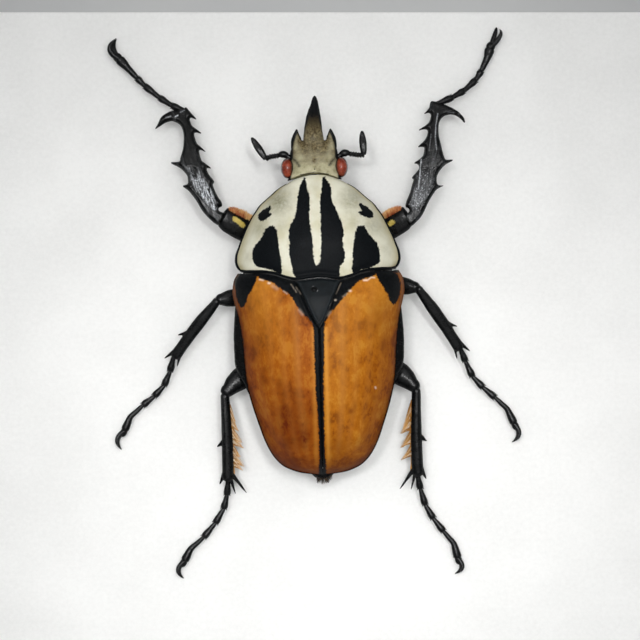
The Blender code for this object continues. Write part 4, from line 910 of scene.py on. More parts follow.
def trunkRing(y, squeeze=0.0):
    shelf, side, foot = (float(curve(back["edge"], y)) - drop for drop in trunk["side"])
    keel = float(curve(trunk["keel"], y)) + squeeze
    shares = np.sin(np.pi / 2.0 * np.linspace(-1.0, 1.0, 13))
    backX = shares * (float(curve(back["width"], y)) - trunk["inset"])
    ring = [(x, y, float(backHeight(np.array(x), np.array(y), trunk["inset"]))) for x in backX]
    inner = backX[-1]
    wide = max(float(curve(trunk["width"], y)) + trunk["flank"] - squeeze, inner + 0.1)
    half = [(inner, shelf), (wide, side)]
    half += [(wide * share, keel + (foot - keel) * share ** 2.5) for share in trunk["belly"]]
    shift = trunk["shift"]
    ring += [(x + (shift if k else 0.0), y, z) for k, (x, z) in enumerate(half)]
    ring += [(0.0, y, keel)]
    ring += [(-x + (shift if k else 0.0), y, z) for k, (x, z) in reversed(list(enumerate(half)))]
    ring = np.array(ring)
    ring[:, 1] += sway(ring[:, 0], y)
    return ring


rounded = ("SUBSURF", {"levels": 2, "render_levels": 2})


def makeTrunk():
    # it reaches forward under the pronotum, and its end rows are doubled to keep them square
    rows = np.concatenate([[1.6, 1.55], np.linspace(1.2, -13.1, 18), [-13.36, -13.4]])
    body = loft([trunkRing(y) for y in rows], (0.0, -1.6, 9.0))
    mesh = changed("thorax", toMesh("thorax", body), rounded)
    nub = toMesh("process", tubeAlong([(0.0, *row) for row in trunk["process"]], 20, 14))
    merged = bmesh.new()
    merged.from_mesh(mesh)
    merged.from_mesh(nub)
    merged.to_mesh(mesh)
    merged.free()
    spots = places(mesh)
    below = np.clip((9.0 - spots[:, 2]) / 3.0, 0.0, 1.0)
    groove = bell(spots[:, 0], 0.25) * below
    push(mesh, 0.05 * ripple(spots, 0.6) - 0.25 * groove)
    addPiece("thorax_shell", mesh, "black", ["thorax"], sharp=75.0)

    ring = []
    edges = [-13.2] + trunk["segments"] + [-32.6]
    for k, (front, rear) in enumerate(zip(edges, edges[1:])):
        for share in (0.0, 0.01 if k == 0 else 0.06, 0.12, 0.4, 0.7, 0.9, 1.0):
            y = front + (rear - front) * share - (0.12 if share == 0.0 and k else 0.0)
            ring.append(trunkRing(y, trunk["step"] * (1.0 if share < 0.05 and k else 0.0)))
    mesh = changed("abdomen", toMesh("abdomen", loft(ring)), rounded)
    addPiece("abdomen_shell", mesh, "black", ["abdomen"], sharp=75.0, wave=(0.04, 0.6))

    x, y, u, s, _ = pronotumPlan(60, 48)
    edge = curve(pronotum["edge"], s) - pronotum["rim"] - 0.1
    keel = curve(pronotum["keel"], s)
    top = np.stack([x * 0.95, y, np.broadcast_to(edge, x.shape)], axis=2)
    below = keel + (edge - 0.6 - keel) * np.abs(u) ** 2.5
    ridge = 0.35 * bell(x, 0.6) * np.clip(1.4 - 2.0 * np.abs(s - 0.4), 0.0, 1.0)
    under = np.stack([x * 0.95, y, below - ridge], axis=2)
    mesh = toMesh("prosternum", shell(top, under))
    addPiece("prosternum_shell", mesh, "black", ["prosternum"], sharp=70.0, wave=(0.05, 0.6))

    tail = trunk["pygidium"]
    share = np.linspace(0.0, 1.0, 26)
    size = np.sqrt(np.maximum(1.0 - share ** 2.2, 0.0004))
    path = np.stack([np.zeros(26), tail["front"] + (tail["back"] - tail["front"]) * share,
                     tail["height"] + 0.2 * share], axis=1)
    mesh = toMesh("pygidium", tube(path, tail["wide"] * size, tail["thick"] * size, 40))
    addPiece("pygidium_plate", mesh, "black", ["pygidium"], wave=(0.04, 1.2))


makeTrunk()
print("trunk made")


# Head, horn, eyes, antennae and mouthparts

head = {
    "shift": -0.22, "voxel": 0.09,
    # dabs on the shield, the same on both halves: hollows, and brown clouds
    "hollows": [(0.0, 22.0, 0.35, 1.2, 0.22), (2.3, 22.9, 0.55, 0.9, 0.3), (0.0, 18.95, 0.14, 0.14, 0.25),
                (3.5, 20.6, 0.25, 1.2, -0.12)],
    "browns": [(0.0, 19.9, 0.4, 0.8, 0.5), (0.0, 22.2, 0.4, 1.0, 0.3), (2.0, 23.2, 0.4, 0.8, 0.3),
               (0.0, 21.2, 0.9, 0.8, -0.3)],
    # stations along the head: place, half width, height of the middle, half height
    "rows": [(17.75, 4.7, 9.4, 2.6), (18.6, 4.1, 9.3, 2.7), (19.6, 4.05, 9.0, 2.7), (21.0, 4.1, 8.9, 2.4),
             (22.6, 3.7, 8.9, 1.9), (23.5, 2.1, 9.1, 1.5)],
    "front": 21.0, "bow": 0.05,
    "spine": [(2.95, 21.6, 9.0, 0.95), (2.95, 22.8, 9.3, 0.98), (2.95, 23.8, 9.65, 0.86),
              (2.96, 24.4, 9.85, 0.6), (2.93, 24.95, 10.05, 0.35), (2.88, 25.45, 10.2, 0.09)],
    # the black edges of the clypeus, on its right half: two ends and half width
    "blackEdges": [((4.05, 20.6), (4.1, 22.0), 0.55), ((4.1, 22.0), (3.95, 23.1), 0.5),
                   ((3.95, 23.1), (3.4, 24.5), 0.5), ((3.4, 24.5), (2.9, 25.6), 0.5),
                   ((2.9, 25.4), (2.2, 23.9), 0.16), ((2.2, 23.9), (1.9, 23.6), 0.22)],
    "horn": [(-0.27, 22.6, 8.95, 1.85, 1.6), (-0.27, 23.8, 9.2, 1.75, 1.4), (-0.27, 24.4, 9.25, 1.68, 1.35),
             (-0.25, 25.3, 9.45, 1.55, 1.35), (-0.2, 26.5, 10.2, 1.4, 1.25), (-0.1, 27.9, 11.4, 1.1, 1.1),
             (0.02, 29.0, 12.3, 0.78, 0.9), (0.08, 30.0, 12.95, 0.5, 0.62), (0.12, 30.5, 13.3, 0.32, 0.4),
             (0.14, 30.8, 13.42, 0.1, 0.12)],
    "eye": (4.6, 18.75, 9.8), "eyeSize": (1.15, 1.72, 1.7),
    "scape": [(3.9, 20.5, 8.8, 0.42), (4.5, 20.85, 8.8, 0.45), (5.1, 21.2, 8.8, 0.62), (5.7, 21.2, 8.8, 0.55),
              (6.1, 21.05, 8.8, 0.32)],
    "stem": [(6.0, 21.05, 8.8), (7.0, 20.95, 8.7), (7.9, 20.8, 8.6)],
    "clubs": {"l": ((-8.55, 20.5, 8.5), (-10.9, 24.3, 8.2)), "r": ((8.35, 20.85, 8.5), (8.1, 25.0, 8.2))},
    "clubShape": [(0.0, 0.34), (0.2, 0.52), (0.5, 0.6), (0.8, 0.48), (0.95, 0.27), (1.0, 0.1)],
    "chin": [(0.0, 18.0, 5.1, 2.4, 0.8), (0.0, 19.6, 4.9, 2.9, 1.0), (0.0, 21.6, 5.3, 2.5, 0.9),
             (0.0, 22.8, 5.8, 1.6, 0.6)],
    "feeler": [(1.6, 21.2, 5.2, 0.4), (2.3, 21.9, 5.4, 0.4), (2.7, 22.8, 5.6, 0.35), (2.4, 23.7, 5.7, 0.4)],
}


def onSide(side, stations):
    # stations of the right half, put on one side of the head
    return [(side * row[0] + head["shift"], *row[1:]) for row in stations]


def headPart():
    y = np.linspace(head["rows"][0][0], head["rows"][-1][0], 46)
    wide, centre, high = columnsOf(head["rows"], y)
    turns = 2.0 * np.pi * (np.arange(64) + 0.5) / 64
    rings = []
    for row, w, z, h in zip(y, wide, centre, high):
        x = w * np.sign(np.cos(turns)) * np.abs(np.cos(turns)) ** 0.75
        rise = h * np.sign(np.sin(turns)) * np.abs(np.sin(turns)) ** 0.8
        lean = head["bow"] * x * x * max(0.0, (head["front"] - row) / (head["front"] - y[0]))
        rings.append(np.stack([x + head["shift"], row - lean, z + rise], axis=1))
    return loft(rings, (head["shift"], y[0], centre[0]))


def makeHead():
    spines = [tubeAlong(onSide(side, head["spine"]), 26, 14, 0.7) for side in (-1, 1)]
    mesh = fuse("head", joinParts([headPart()] + spines), head["voxel"], 4)
    spots = places(mesh)
    x, y, z = spots[:, 0] - head["shift"], spots[:, 1], spots[:, 2]
    ax = np.abs(x)
    above = np.clip((z - 9.0) / 1.2, 0.0, 1.0)
    push(mesh, 0.05 * ripple(spots, 0.8) - dabs(ax, y, head["hollows"]) * above)
    # black: the clypeus's edges, the antennae's roots, a crease behind each, the pit, the cheeks and the
    # underside
    dark = -np.ones(len(spots))
    for a, b, width in head["blackEdges"]:
        dark = np.maximum(dark, (width - lineDistance(ax, y, a, b)) * 2.2)
    dark = np.maximum(dark, 0.75 - 1.5 * np.hypot(ax - 4.1, (y - 20.7) * 0.9))
    dark = np.maximum(dark, 0.12 - 0.9 * lineDistance(ax, y, (3.6, 20.5), (2.6, 19.1)))
    dark = np.maximum(dark, 0.6 - 5.0 * np.hypot(x - 0.05, y - 18.4))
    # painted shade: a dark line in the crease at the back of the head, against the pronotum
    dark = np.maximum(dark, 0.3 - 4.5 * lineDistance(ax, y, (0.0, 17.9), (2.4, 17.5)))
    dark = np.maximum(dark, np.where(y < 20.5, (ax - 4.0) * 2.2, -1.0))
    dark = np.maximum(dark, (8.6 - z) * 1.2)
    # brown deepens to the front, with cream left along each side
    brown = 0.08 + 0.45 * np.clip((y - 19.1) / 0.7, 0.0, 1.0) + 0.4 * np.clip((y - 20.3) / 1.0, 0.0, 1.0)
    brown += dabs(ax, y, head["browns"])
    brown -= 0.25 * bell(lineDistance(ax, y, (2.95, 24.2), (3.2, 22.0)), 0.25)
    brown -= 0.4 * bell(lineDistance(ax, y, (3.0, 22.4), (2.4, 20.6)), 0.6)
    setField(mesh, "dark", dark)
    setField(mesh, "brown", brown)
    addPiece("head_shield", mesh, "head", ["head"])

    mesh = toMesh("horn", tubeAlong(head["horn"], 90, 40))
    spots = places(mesh)
    x, y = spots[:, 0] - head["shift"], spots[:, 1]
    push(mesh, 0.05 * ripple(spots, 0.9) + 0.08 * bell(x, 0.3) * bell(y - 27.5, 2.5))
    # the tip and the edges are black, and the black fades down the horn
    middle, wide = (curve([(row[1], row[k]) for row in head["horn"]], y) for k in (0, 3))
    edge = np.abs(spots[:, 0] - middle) - wide
    dark = (y - 26.5) * 0.21
    dark = np.maximum(dark, 0.8 * np.clip((y - 23.8) / 3.0, 0.0, 1.0) - 0.2 + 1.1 * edge)
    setField(mesh, "dark", dark)
    setField(mesh, "brown", 0.9 + 0.15 * np.clip((y - 24.5) / 2.0, 0.0, 1.0))
    addPiece("horn_process", mesh, "head", ["horn"])

    for name, side in (("l", -1), ("r", 1)):
        cx, cy, cz = side * head["eye"][0] + head["shift"], head["eye"][1], head["eye"][2]
        mesh = toMesh("eye", egg((cx, cy, cz), head["eyeSize"], 56, 40))
        spots = places(mesh)
        # painted shade: darker toward the head and round the rim
        across, along = ((spots[:, k] - centre) / head["eyeSize"][k] for k, centre in ((0, cx), (1, cy)))
        socketShade = np.clip((-across * side - 0.35) * 2.5, 0.0, 1.0)
        setField(mesh, "dark", socketShade + np.clip((np.hypot(across, along) - 0.76) * 4.5, 0.0, 0.95))
        addPiece("eye_lens_" + name, mesh, "eye", ["eye_" + name])


def makeAntennae():
    for name, side in (("l", -1), ("r", 1)):
        parts = [tubeAlong(onSide(side, head["scape"]), 30, 18, 0.9)]
        stem = smoothPath(onSide(side, head["stem"]) + [head["clubs"][name][0]], 7)
        for a, b in zip(stem, stem[1:]):      # the small cupped joints between scape and club
            share = np.linspace(-0.08, 1.08, 10)[:, None]
            size = curve([(0.0, 0.27), (0.7, 0.47), (0.95, 0.45), (1.0, 0.27)], np.linspace(0.0, 1.0, 10))
            parts.append(tube(a + (b - a) * share, size, size, 14))
        base, tip = (np.array(end) for end in head["clubs"][name])
        for layer in (-1, 0, 1):              # three leaves, closed on each other
            share = np.linspace(0.0, 1.0, 34)
            size = curve(head["clubShape"], share)
            fan = np.array((0.07 * layer * side, 0.0, 0.2 * layer))
            spread = np.sin(np.pi * np.minimum(share + 0.15, 0.9))[:, None]
            centres = base + (tip - base) * share[:, None] + fan * spread
            parts.append(tube(centres, size * (1.0 - 0.06 * abs(layer)), size * 0.32, 20))
        mesh = toMesh("antenna", joinParts(parts))
        addPiece("antenna_stalk_" + name, mesh, "black", ["antenna_" + name], wave=(0.02, 1.5))


def makeMouthparts():
    parts = [tubeAlong(head["chin"], 24, 36)]
    for side in (-1, 1):
        for start, stop in ((0, 8), (7, 15), (14, 24)):    # three joints to a feeler
            way = smoothPath([(side * x, y, z, r) for x, y, z, r in head["feeler"]], 24)[start:stop]
            swell = 0.72 + 0.28 * np.sin(np.pi * np.linspace(0.1, 0.9, len(way)))
            parts.append(tube(way[:, :3], way[:, 3] * swell, way[:, 3] * swell, 14))
    mesh = fuse("mouthparts", joinParts(parts), 0.1, 2)
    addPiece("mouth_plate", mesh, "black", ["mouthparts"], wave=(0.04, 0.9))


makeHead()
makeAntennae()
makeMouthparts()
print("head made")


# Legs

# each table: share of the limb, how far outwards its middle lies, half width, half height
femur = {
    "front": [(0.0, 0.0, 1.0, 1.0), (0.35, 0.0, 1.9, 1.3), (0.7, 0.0, 2.02, 1.3), (0.88, -0.1, 2.0, 1.25),
              (0.975, -0.3, 1.8, 1.1), (1.0, -0.2, 0.5, 0.5)],
    "mid": [(0.0, 0.0, 0.9, 0.9), (0.4, 0.1, 1.4, 1.15), (0.75, 0.2, 1.55, 1.1), (0.9, 0.1, 1.4, 1.0),
            (1.0, 0.0, 1.0, 0.9)],
    "hind": [(0.0, 0.0, 1.1, 1.0), (0.4, 0.2, 1.9, 1.25), (0.72, 0.45, 1.95, 1.25), (0.87, 0.45, 1.65, 1.15),
             (1.0, 0.2, 1.15, 1.0)],
}
tibia = {
    "front_l": [(0.0, 0.35, 0.95, 0.95), (0.1, 0.75, 1.65, 1.1), (0.22, 1.15, 2.05, 1.15),
                (0.4, 1.4, 1.95, 1.15), (0.57, 1.65, 1.75, 1.1), (0.7, 1.25, 1.3, 1.0),
                (0.85, 0.65, 0.88, 0.85), (1.0, 0.35, 0.65, 0.7)],
    "front_r": [(0.0, 0.35, 0.95, 0.95), (0.1, 0.8, 1.6, 1.1), (0.22, 1.15, 2.0, 1.15),
                (0.4, 1.3, 1.9, 1.15), (0.55, 1.45, 1.8, 1.1), (0.68, 0.9, 1.3, 1.0),
                (0.85, 0.45, 0.85, 0.85), (1.0, 0.35, 0.72, 0.7)],
    "mid": [(0.0, 0.05, 0.74, 0.75), (0.16, 0.1, 0.9, 0.8), (0.36, 0.15, 1.03, 0.85), (0.6, 0.15, 1.0, 0.8),
            (0.85, 0.05, 0.95, 0.75), (1.0, 0.0, 1.0, 0.7)],
    "hind": [(0.0, 0.15, 0.78, 0.8), (0.3, 0.0, 0.9, 0.9), (0.6, -0.08, 1.0, 0.9), (0.85, -0.08, 1.03, 0.85),
             (1.0, 0.0, 1.0, 0.8)],
    "voxel": 0.08,
}
# teeth and spurs of a tibia: share and place outwards of the root, then of the tip, root radius
teeth = {
    "mid": [(0.6, 0.5, 0.75, 1.85, 0.5), (0.95, 0.45, 1.17, 1.2, 0.5), (0.95, -0.4, 1.15, -1.4, 0.35)],
    "hind": [(0.54, 0.4, 0.61, 1.75, 0.6), (0.95, 0.5, 1.1, 1.45, 0.5), (0.96, -0.6, 1.22, -3.2, 0.42),
             (0.96, -0.2, 1.23, -1.25, 0.42)],
}
# the broad front tibiae with their teeth and hook: how far outwards of the shin's own line and
# how far along it, clockwise from the knee; then the rubbed face
blades = {
    "front_l": [(0.5, -2.5), (1.35, -1.6), (2.05, -0.35), (2.55, 1.0), (3.0, 2.9), (3.4, 4.1), (3.8, 5.0),
                (4.45, 5.95), (3.5, 6.0), (3.2, 6.9), (3.2, 7.7), (3.9, 9.1), (5.2, 10.5), (3.7, 10.2),
                (3.3, 10.8), (2.6, 11.9), (2.1, 12.9), (1.6, 14.4), (1.5, 15.7), (1.8, 16.6), (2.6, 17.3),
                (3.4, 17.5), (4.2, 17.45), (5.0, 17.2), (6.0, 17.0), (5.3, 17.7), (4.7, 18.4),
                (3.9, 18.85), (2.9, 19.1), (2.1, 19.1), (1.2, 19.0), (0.2, 18.9), (-0.3, 18.9),
                (-0.8, 17.7), (-1.35, 16.4), (-0.6, 16.9), (-0.25, 16.8), (-0.2, 16.1), (-0.3, 15.5),
                (-0.7, 14.9), (-1.45, 13.75), (-0.6, 14.2), (-0.2, 14.1), (-0.1, 13.4), (-0.15, 12.3),
                (-0.5, 11.7), (-1.15, 10.45), (-0.5, 11.0), (-0.15, 11.0), (0.0, 10.3), (0.0, 9.4),
                (-0.1, 9.0), (-0.5, 8.5), (-1.15, 7.45), (-0.6, 7.65), (-0.4, 7.4), (-0.5, 6.5),
                (-0.95, 5.1), (-0.6, 4.6), (-0.6, 3.6), (-0.8, 2.2), (-1.1, 1.3), (-1.05, 0.65),
                (-0.8, 0.48), (-0.4, 0.42), (-0.2, 0.1), (-0.35, -0.3), (-0.7, -0.55), (-1.0, -1.0),
                (-0.6, -1.9)],
    "front_r": [(0.4, -2.9), (1.2, -2.0), (1.85, -0.7), (2.2, 0.6), (2.5, 2.0), (3.1, 3.8), (3.6, 4.6),
                (4.35, 5.2), (3.5, 5.1), (3.1, 5.6), (2.9, 6.6), (3.2, 7.7), (3.9, 8.9), (5.0, 9.95),
                (3.8, 9.75), (3.4, 10.1), (2.9, 11.0), (2.2, 12.5), (1.6, 13.8), (1.3, 15.0),
                (1.25, 16.0), (1.6, 16.9), (2.2, 17.4), (2.9, 17.7), (3.7, 17.7), (4.6, 17.4),
                (5.6, 16.8), (5.3, 17.5), (4.8, 18.0), (4.0, 18.5), (3.1, 18.8), (2.3, 19.0), (1.0, 19.2),
                (-0.9, 19.2), (-1.0, 18.1), (-1.2, 17.6), (-1.65, 16.75), (-1.0, 17.1), (-0.55, 17.0),
                (-0.4, 16.5), (-0.45, 15.7), (-0.8, 15.0), (-1.95, 13.75), (-1.1, 14.1), (-0.5, 14.1),
                (-0.3, 13.5), (-0.45, 12.5), (-0.8, 11.8), (-1.45, 10.85), (-0.8, 11.0), (-0.35, 11.0),
                (-0.2, 10.4), (-0.2, 9.6), (-0.6, 8.9), (-1.45, 7.95), (-0.8, 7.9), (-0.45, 7.5),
                (-0.5, 6.8), (-1.25, 5.45), (-0.9, 5.1), (-0.95, 4.2), (-1.0, 2.7), (-1.25, 1.1),
                (-1.25, 0.25), (-1.0, 0.05), (-0.65, -0.03), (-0.45, -0.4), (-0.6, -0.85), (-1.0, -1.1),
                (-1.2, -1.6), (-0.6, -2.5)],
    # the rubbed face is worn, and its pale colour is painted sheen
    "faces": {"front_l": [(2.8, 8.8), (1.0, 7.9), (0.5, 5.8), (-0.1, 3.4), (-0.1, 1.4), (-0.1, 0.3),
                          (0.6, 0.1), (1.6, 2.0), (2.5, 4.3), (2.9, 5.6), (2.6, 7.3)],
              "front_r": [(0.2, 7.4), (2.5, 7.6), (2.6, 5.5), (2.4, 4.0), (1.8, 1.9), (0.9, 0.3),
                          (0.1, -0.2), (-0.4, 0.9), (-0.4, 3.0), (-0.1, 4.8)]},
    # painted highlight lines on ridges and edges: two ends, half width, strength
    "highlightLines": {"front_l": [((1.5, 17.9), (2.0, 17.8), 0.1, 1.0), ((2.7, 18.15), (3.6, 18.2), 0.08, 0.45),
                          ((0.2, 18.4), (0.9, 18.3), 0.1, 0.35)],
              "front_r": [((-0.4, 8.7), (0.25, 3.5), 0.09, 0.9), ((0.65, 17.2), (0.75, 15.0), 0.07, 0.6),
                          ((0.75, 15.0), (1.1, 13.0), 0.07, 0.7), ((1.1, 13.0), (1.8, 10.9), 0.07, 0.5),
                          ((2.2, 17.9), (3.4, 18.0), 0.06, 0.3), ((0.3, 13.4), (0.6, 10.4), 0.06, 0.25)]},
    "voxel": 0.085, "bevel": 0.8,
    "thick": [(-2.0, 0.8), (0.0, 0.95), (4.0, 1.1), (10.0, 1.05), (15.0, 0.85), (19.0, 0.7)],
}
# bulge, bend, slim and tips shape the two claws: how far they curve and where, and how they part
legs = {
    "front_l": dict(outward=-1, coxa=(-2.9, 4.9, 2.8), hip=(-5.0, 4.6, 2.7),
                    knee=(-16.75, 10.75, 6.6), ankle=(-22.25, 29.3, 4.2),
                    tarsus=[(-24.75, 30.5, 3.5), (-26.85, 31.95, 2.8), (-29.4, 34.1, 2.1),
                            (-30.7, 35.5, 1.7), (-32.8, 37.85, 1.4), (-33.85, 39.0, 1.2)],
                    claw=(-34.2, 42.55), bulge=(-0.9, -1.65)),
    "front_r": dict(outward=1, coxa=(2.9, 4.9, 2.8), hip=(5.0, 4.3, 2.7),
                    knee=(16.2, 10.2, 6.6), ankle=(21.1, 29.5, 4.2),
                    tarsus=[(24.1, 30.8, 3.5), (26.1, 31.9, 2.8), (28.25, 33.8, 2.1),
                            (29.2, 35.3, 1.7), (30.35, 37.6, 1.4), (30.9, 39.3, 1.2)],
                    claw=(32.2, 42.85), bulge=(0.19, 0.8), bend=0.93, slim=0.82,
                    tips=((-0.12, 0.2), (0.36, -0.3))),
    "mid_l": dict(outward=1, coxa=(-2.9, -3.4, 2.2), hip=(-5.0, -3.0, 2.5),
                  knee=(-17.3, -3.4, 6.0), ankle=(-25.5, -13.4, 3.2),
                  tarsus=[(-26.15, -15.7, 2.6), (-27.25, -18.1, 2.1), (-29.05, -19.95, 1.8),
                          (-31.1, -21.5, 1.6), (-33.3, -23.5, 1.4), (-34.4, -25.8, 1.2)],
                  claw=(-35.0, -29.1), bulge=(1.1, 1.25)),
    "mid_r": dict(outward=-1, coxa=(2.9, -2.0, 2.2), hip=(5.0, -1.2, 2.5),
                  knee=(17.0, -2.1, 6.0), ankle=(24.5, -13.2, 3.2),
                  tarsus=[(25.25, -15.15, 2.6), (26.45, -17.8, 2.1), (28.25, -19.75, 1.8),
                          (30.3, -21.55, 1.6), (32.35, -23.6, 1.4), (33.6, -26.25, 1.2)],
                  claw=(33.15, -29.4), bulge=(-1.1, -1.25)),
    "hind_l": dict(outward=1, coxa=(-2.7, -11.6, 2.0), hip=(-6.4, -12.2, 2.5),
                   knee=(-16.45, -19.65, 5.4), ankle=(-16.5, -35.1, 3.2),
                   tarsus=[(-16.75, -37.4, 2.6), (-17.4, -39.8, 2.1), (-18.95, -42.3, 1.8),
                           (-21.05, -44.75, 1.6), (-23.3, -46.7, 1.4), (-24.5, -48.8, 1.2)],
                   claw=(-24.7, -51.8), bulge=(1.1, 1.25)),
    "hind_r": dict(outward=-1, coxa=(2.7, -11.6, 2.0), hip=(6.4, -12.0, 2.5),
                   knee=(16.3, -19.5, 5.4), ankle=(16.5, -35.0, 3.2),
                   tarsus=[(16.9, -37.1, 2.6), (17.7, -39.95, 2.1), (19.05, -42.35, 1.8),
                           (20.8, -44.65, 1.6), (22.5, -46.85, 1.4), (23.2, -49.4, 1.2)],
                   claw=(22.65, -52.1), bulge=(-1.1, -1.25)),
}
for name, leg in legs.items():
    leg["kind"] = name.split("_")[0]
    leg["form"] = name if leg["kind"] == "front" else leg["kind"]
# half widths of the joints of a foot and of its claws
foot = {"front": {"neck": 0.42, "wide": 0.62, "clawNeck": 0.45, "clawJoint": 0.86, "claw": 0.54},
        "mid": {"neck": 0.36, "wide": 0.62, "clawNeck": 0.38, "clawJoint": 0.7, "claw": 0.42},
        "hind": {"neck": 0.36, "wide": 0.62, "clawNeck": 0.38, "clawJoint": 0.72, "claw": 0.42}}
# how wide a joint is along its length, in shares of its widest, and so the last one at the claws
jointSwell = [(0.45, 0.78), (0.8, 1.0), (0.93, 0.95), (1.0, 0.6)]
clawSwell = [(0.55, 0.72), (0.75, 0.9), (0.93, 1.0), (1.0, 0.7)]
clawSpread = 0.55
# the ochre bar on each front femur: its two ends, seen from above, and its half width
femurSpot = {"front_l": ((-14.1, 10.45), (-12.8, 9.35), 0.5), "front_r": ((12.6, 8.95), (13.0, 9.2), 0.5)}


def limbFrame(root, tip):
    # a limb's own frame at its root, +Y to its tip and +X level
    along = (tip - root).normalized()
    across = along.cross(up).normalized()
    axes = Matrix((across, along, across.cross(along))).transposed().to_4x4()
    return Matrix.Translation(root) @ axes


def limbSpan(leg, which):
    hip, knee, ankle = (Vector(leg[key]) for key in ("hip", "knee", "ankle"))
    thigh, shin = femur[leg["kind"]], tibia[leg["form"]]
    if which == "femur":
        way = (knee - hip).normalized()
        return hip + way * thigh[0][2] * 0.45, knee - way * thigh[-1][2] * 0.45
    way = (ankle - knee).normalized()
    return knee + way * (shin[0][2] + gap), ankle - way * shin[-1][2]


def limb(table, length, outward, sides=36, rows=90, lap=0.0):
    # a limb along +Y with round ends; lap runs its root further back into the joint before it
    caps = np.linspace(np.pi / 2.0, 0.08, 9)
    first, last = table[0], table[-1]
    share = np.linspace(0.0, 1.0, rows)
    x, wide, high = columnsOf(table, share)
    y = share * length
    headSize, tailSize = np.cos(caps[1:]), np.cos(caps[:0:-1])
    y = np.concatenate([-np.sin(caps[1:]) * first[2] - lap, y, length + np.sin(caps[:0:-1]) * last[2]])
    wide = np.concatenate([headSize * first[2], wide, tailSize * last[2]])
    high = np.concatenate([headSize * first[3], high, tailSize * last[3]])
    x = np.concatenate([np.full(8, x[0]), x, np.full(8, x[-1])])
    turns = 2.0 * np.pi * np.arange(sides) / sides
    rings = np.stack([outward * x[:, None] + wide[:, None] * np.cos(turns),
                      np.broadcast_to(y[:, None], (len(y), sides)), high[:, None] * np.sin(turns)], axis=2)
    return loft(rings, (outward * x[0], -first[2] - lap, 0.0), (outward * x[-1], length + last[2], 0.0))


def spine(root, tip, radius, rows=18, sides=14, blunt=0.08):
    root, tip = np.array(root), np.array(tip)
    share = np.linspace(0.0, 1.0, rows)
    size = blunt + (radius - blunt) * (1.0 - share) ** 0.9
    return tube(root + (tip - root) * share[:, None], size, size, sides)


def makeCoxa(name, leg):
    coxa, hip = Vector(leg["coxa"]), Vector(leg["hip"])
    radius = femur[leg["kind"]][0][2] + 0.1
    table = [(0.0, 0.0, radius, radius), (0.5, 0.0, radius * 1.25, radius * 1.25), (1.0, 0.0, radius, radius)]
    mesh = toMesh("coxa", limb(table, (hip - coxa).length, 1, 28, 24))
    addPiece("hip_" + name, mesh, "black", ["coxa_" + name], limbFrame(coxa, hip),
             wave=(0.05, 0.9))


def makeFemur(name, leg):
    root, tip = limbSpan(leg, "femur")
    length = (tip - root).length
    mesh = toMesh("femur", limb(femur[leg["kind"]], length, leg["outward"]))
    stand = limbFrame(root, tip)
    spots = places(mesh)
    push(mesh, 0.05 * ripple(spots, 0.7, (1.0, 0.5, 1.0)) + 0.02 * ripple(spots, 2.6))
    if leg["kind"] == "front":
        a, b, half = femurSpot[name]
        x, y = (spots @ np.array(stand)[:2, :3].T + np.array(stand)[:2, 3]).T
        bar = 1.0 + half - lineDistance(x, y, a, b)    # 1 at the bar's edge and more inside it
        setField(mesh, "tan", np.where(spots[:, 2] > 0.0, bar, 0.0))
    setField(mesh, "worn", 0.1)
    addPiece("thigh_" + name, mesh, "black", ["femur_" + name], stand)


def makeBlade(form, outward):
    # an even slab cut to the outline, then thinned to its edge all round
    outline = np.array(blades[form]) * (outward, 1.0)
    loop = smoothLoop(outline, 3)
    count = len(loop)
    slab = np.concatenate([np.column_stack([loop, np.full(count, level)]) for level in (-1.0, 1.0)])
    faces = bandFaces(2, count) + [tuple(range(count)), tuple(range(2 * count - 1, count - 1, -1))]
    mesh = fuse("tibia", makePart(slab, faces), blades["voxel"], 1)
    spots = places(mesh)
    inside = depthInside(spots[:, 0], spots[:, 1], outline)
    rise = np.clip(inside / blades["bevel"], 0.0, 1.0)
    thick = curve(blades["thick"], spots[:, 1])
    spots[:, 2] *= 0.05 + thick * np.sqrt(1.0 - (1.0 - rise) ** 2)
    mesh.vertices.foreach_set("co", spots.astype(np.float32).ravel())
    mesh.update()
    return changed("tibia", mesh, ("SMOOTH", {"factor": 0.5, "iterations": 3}))


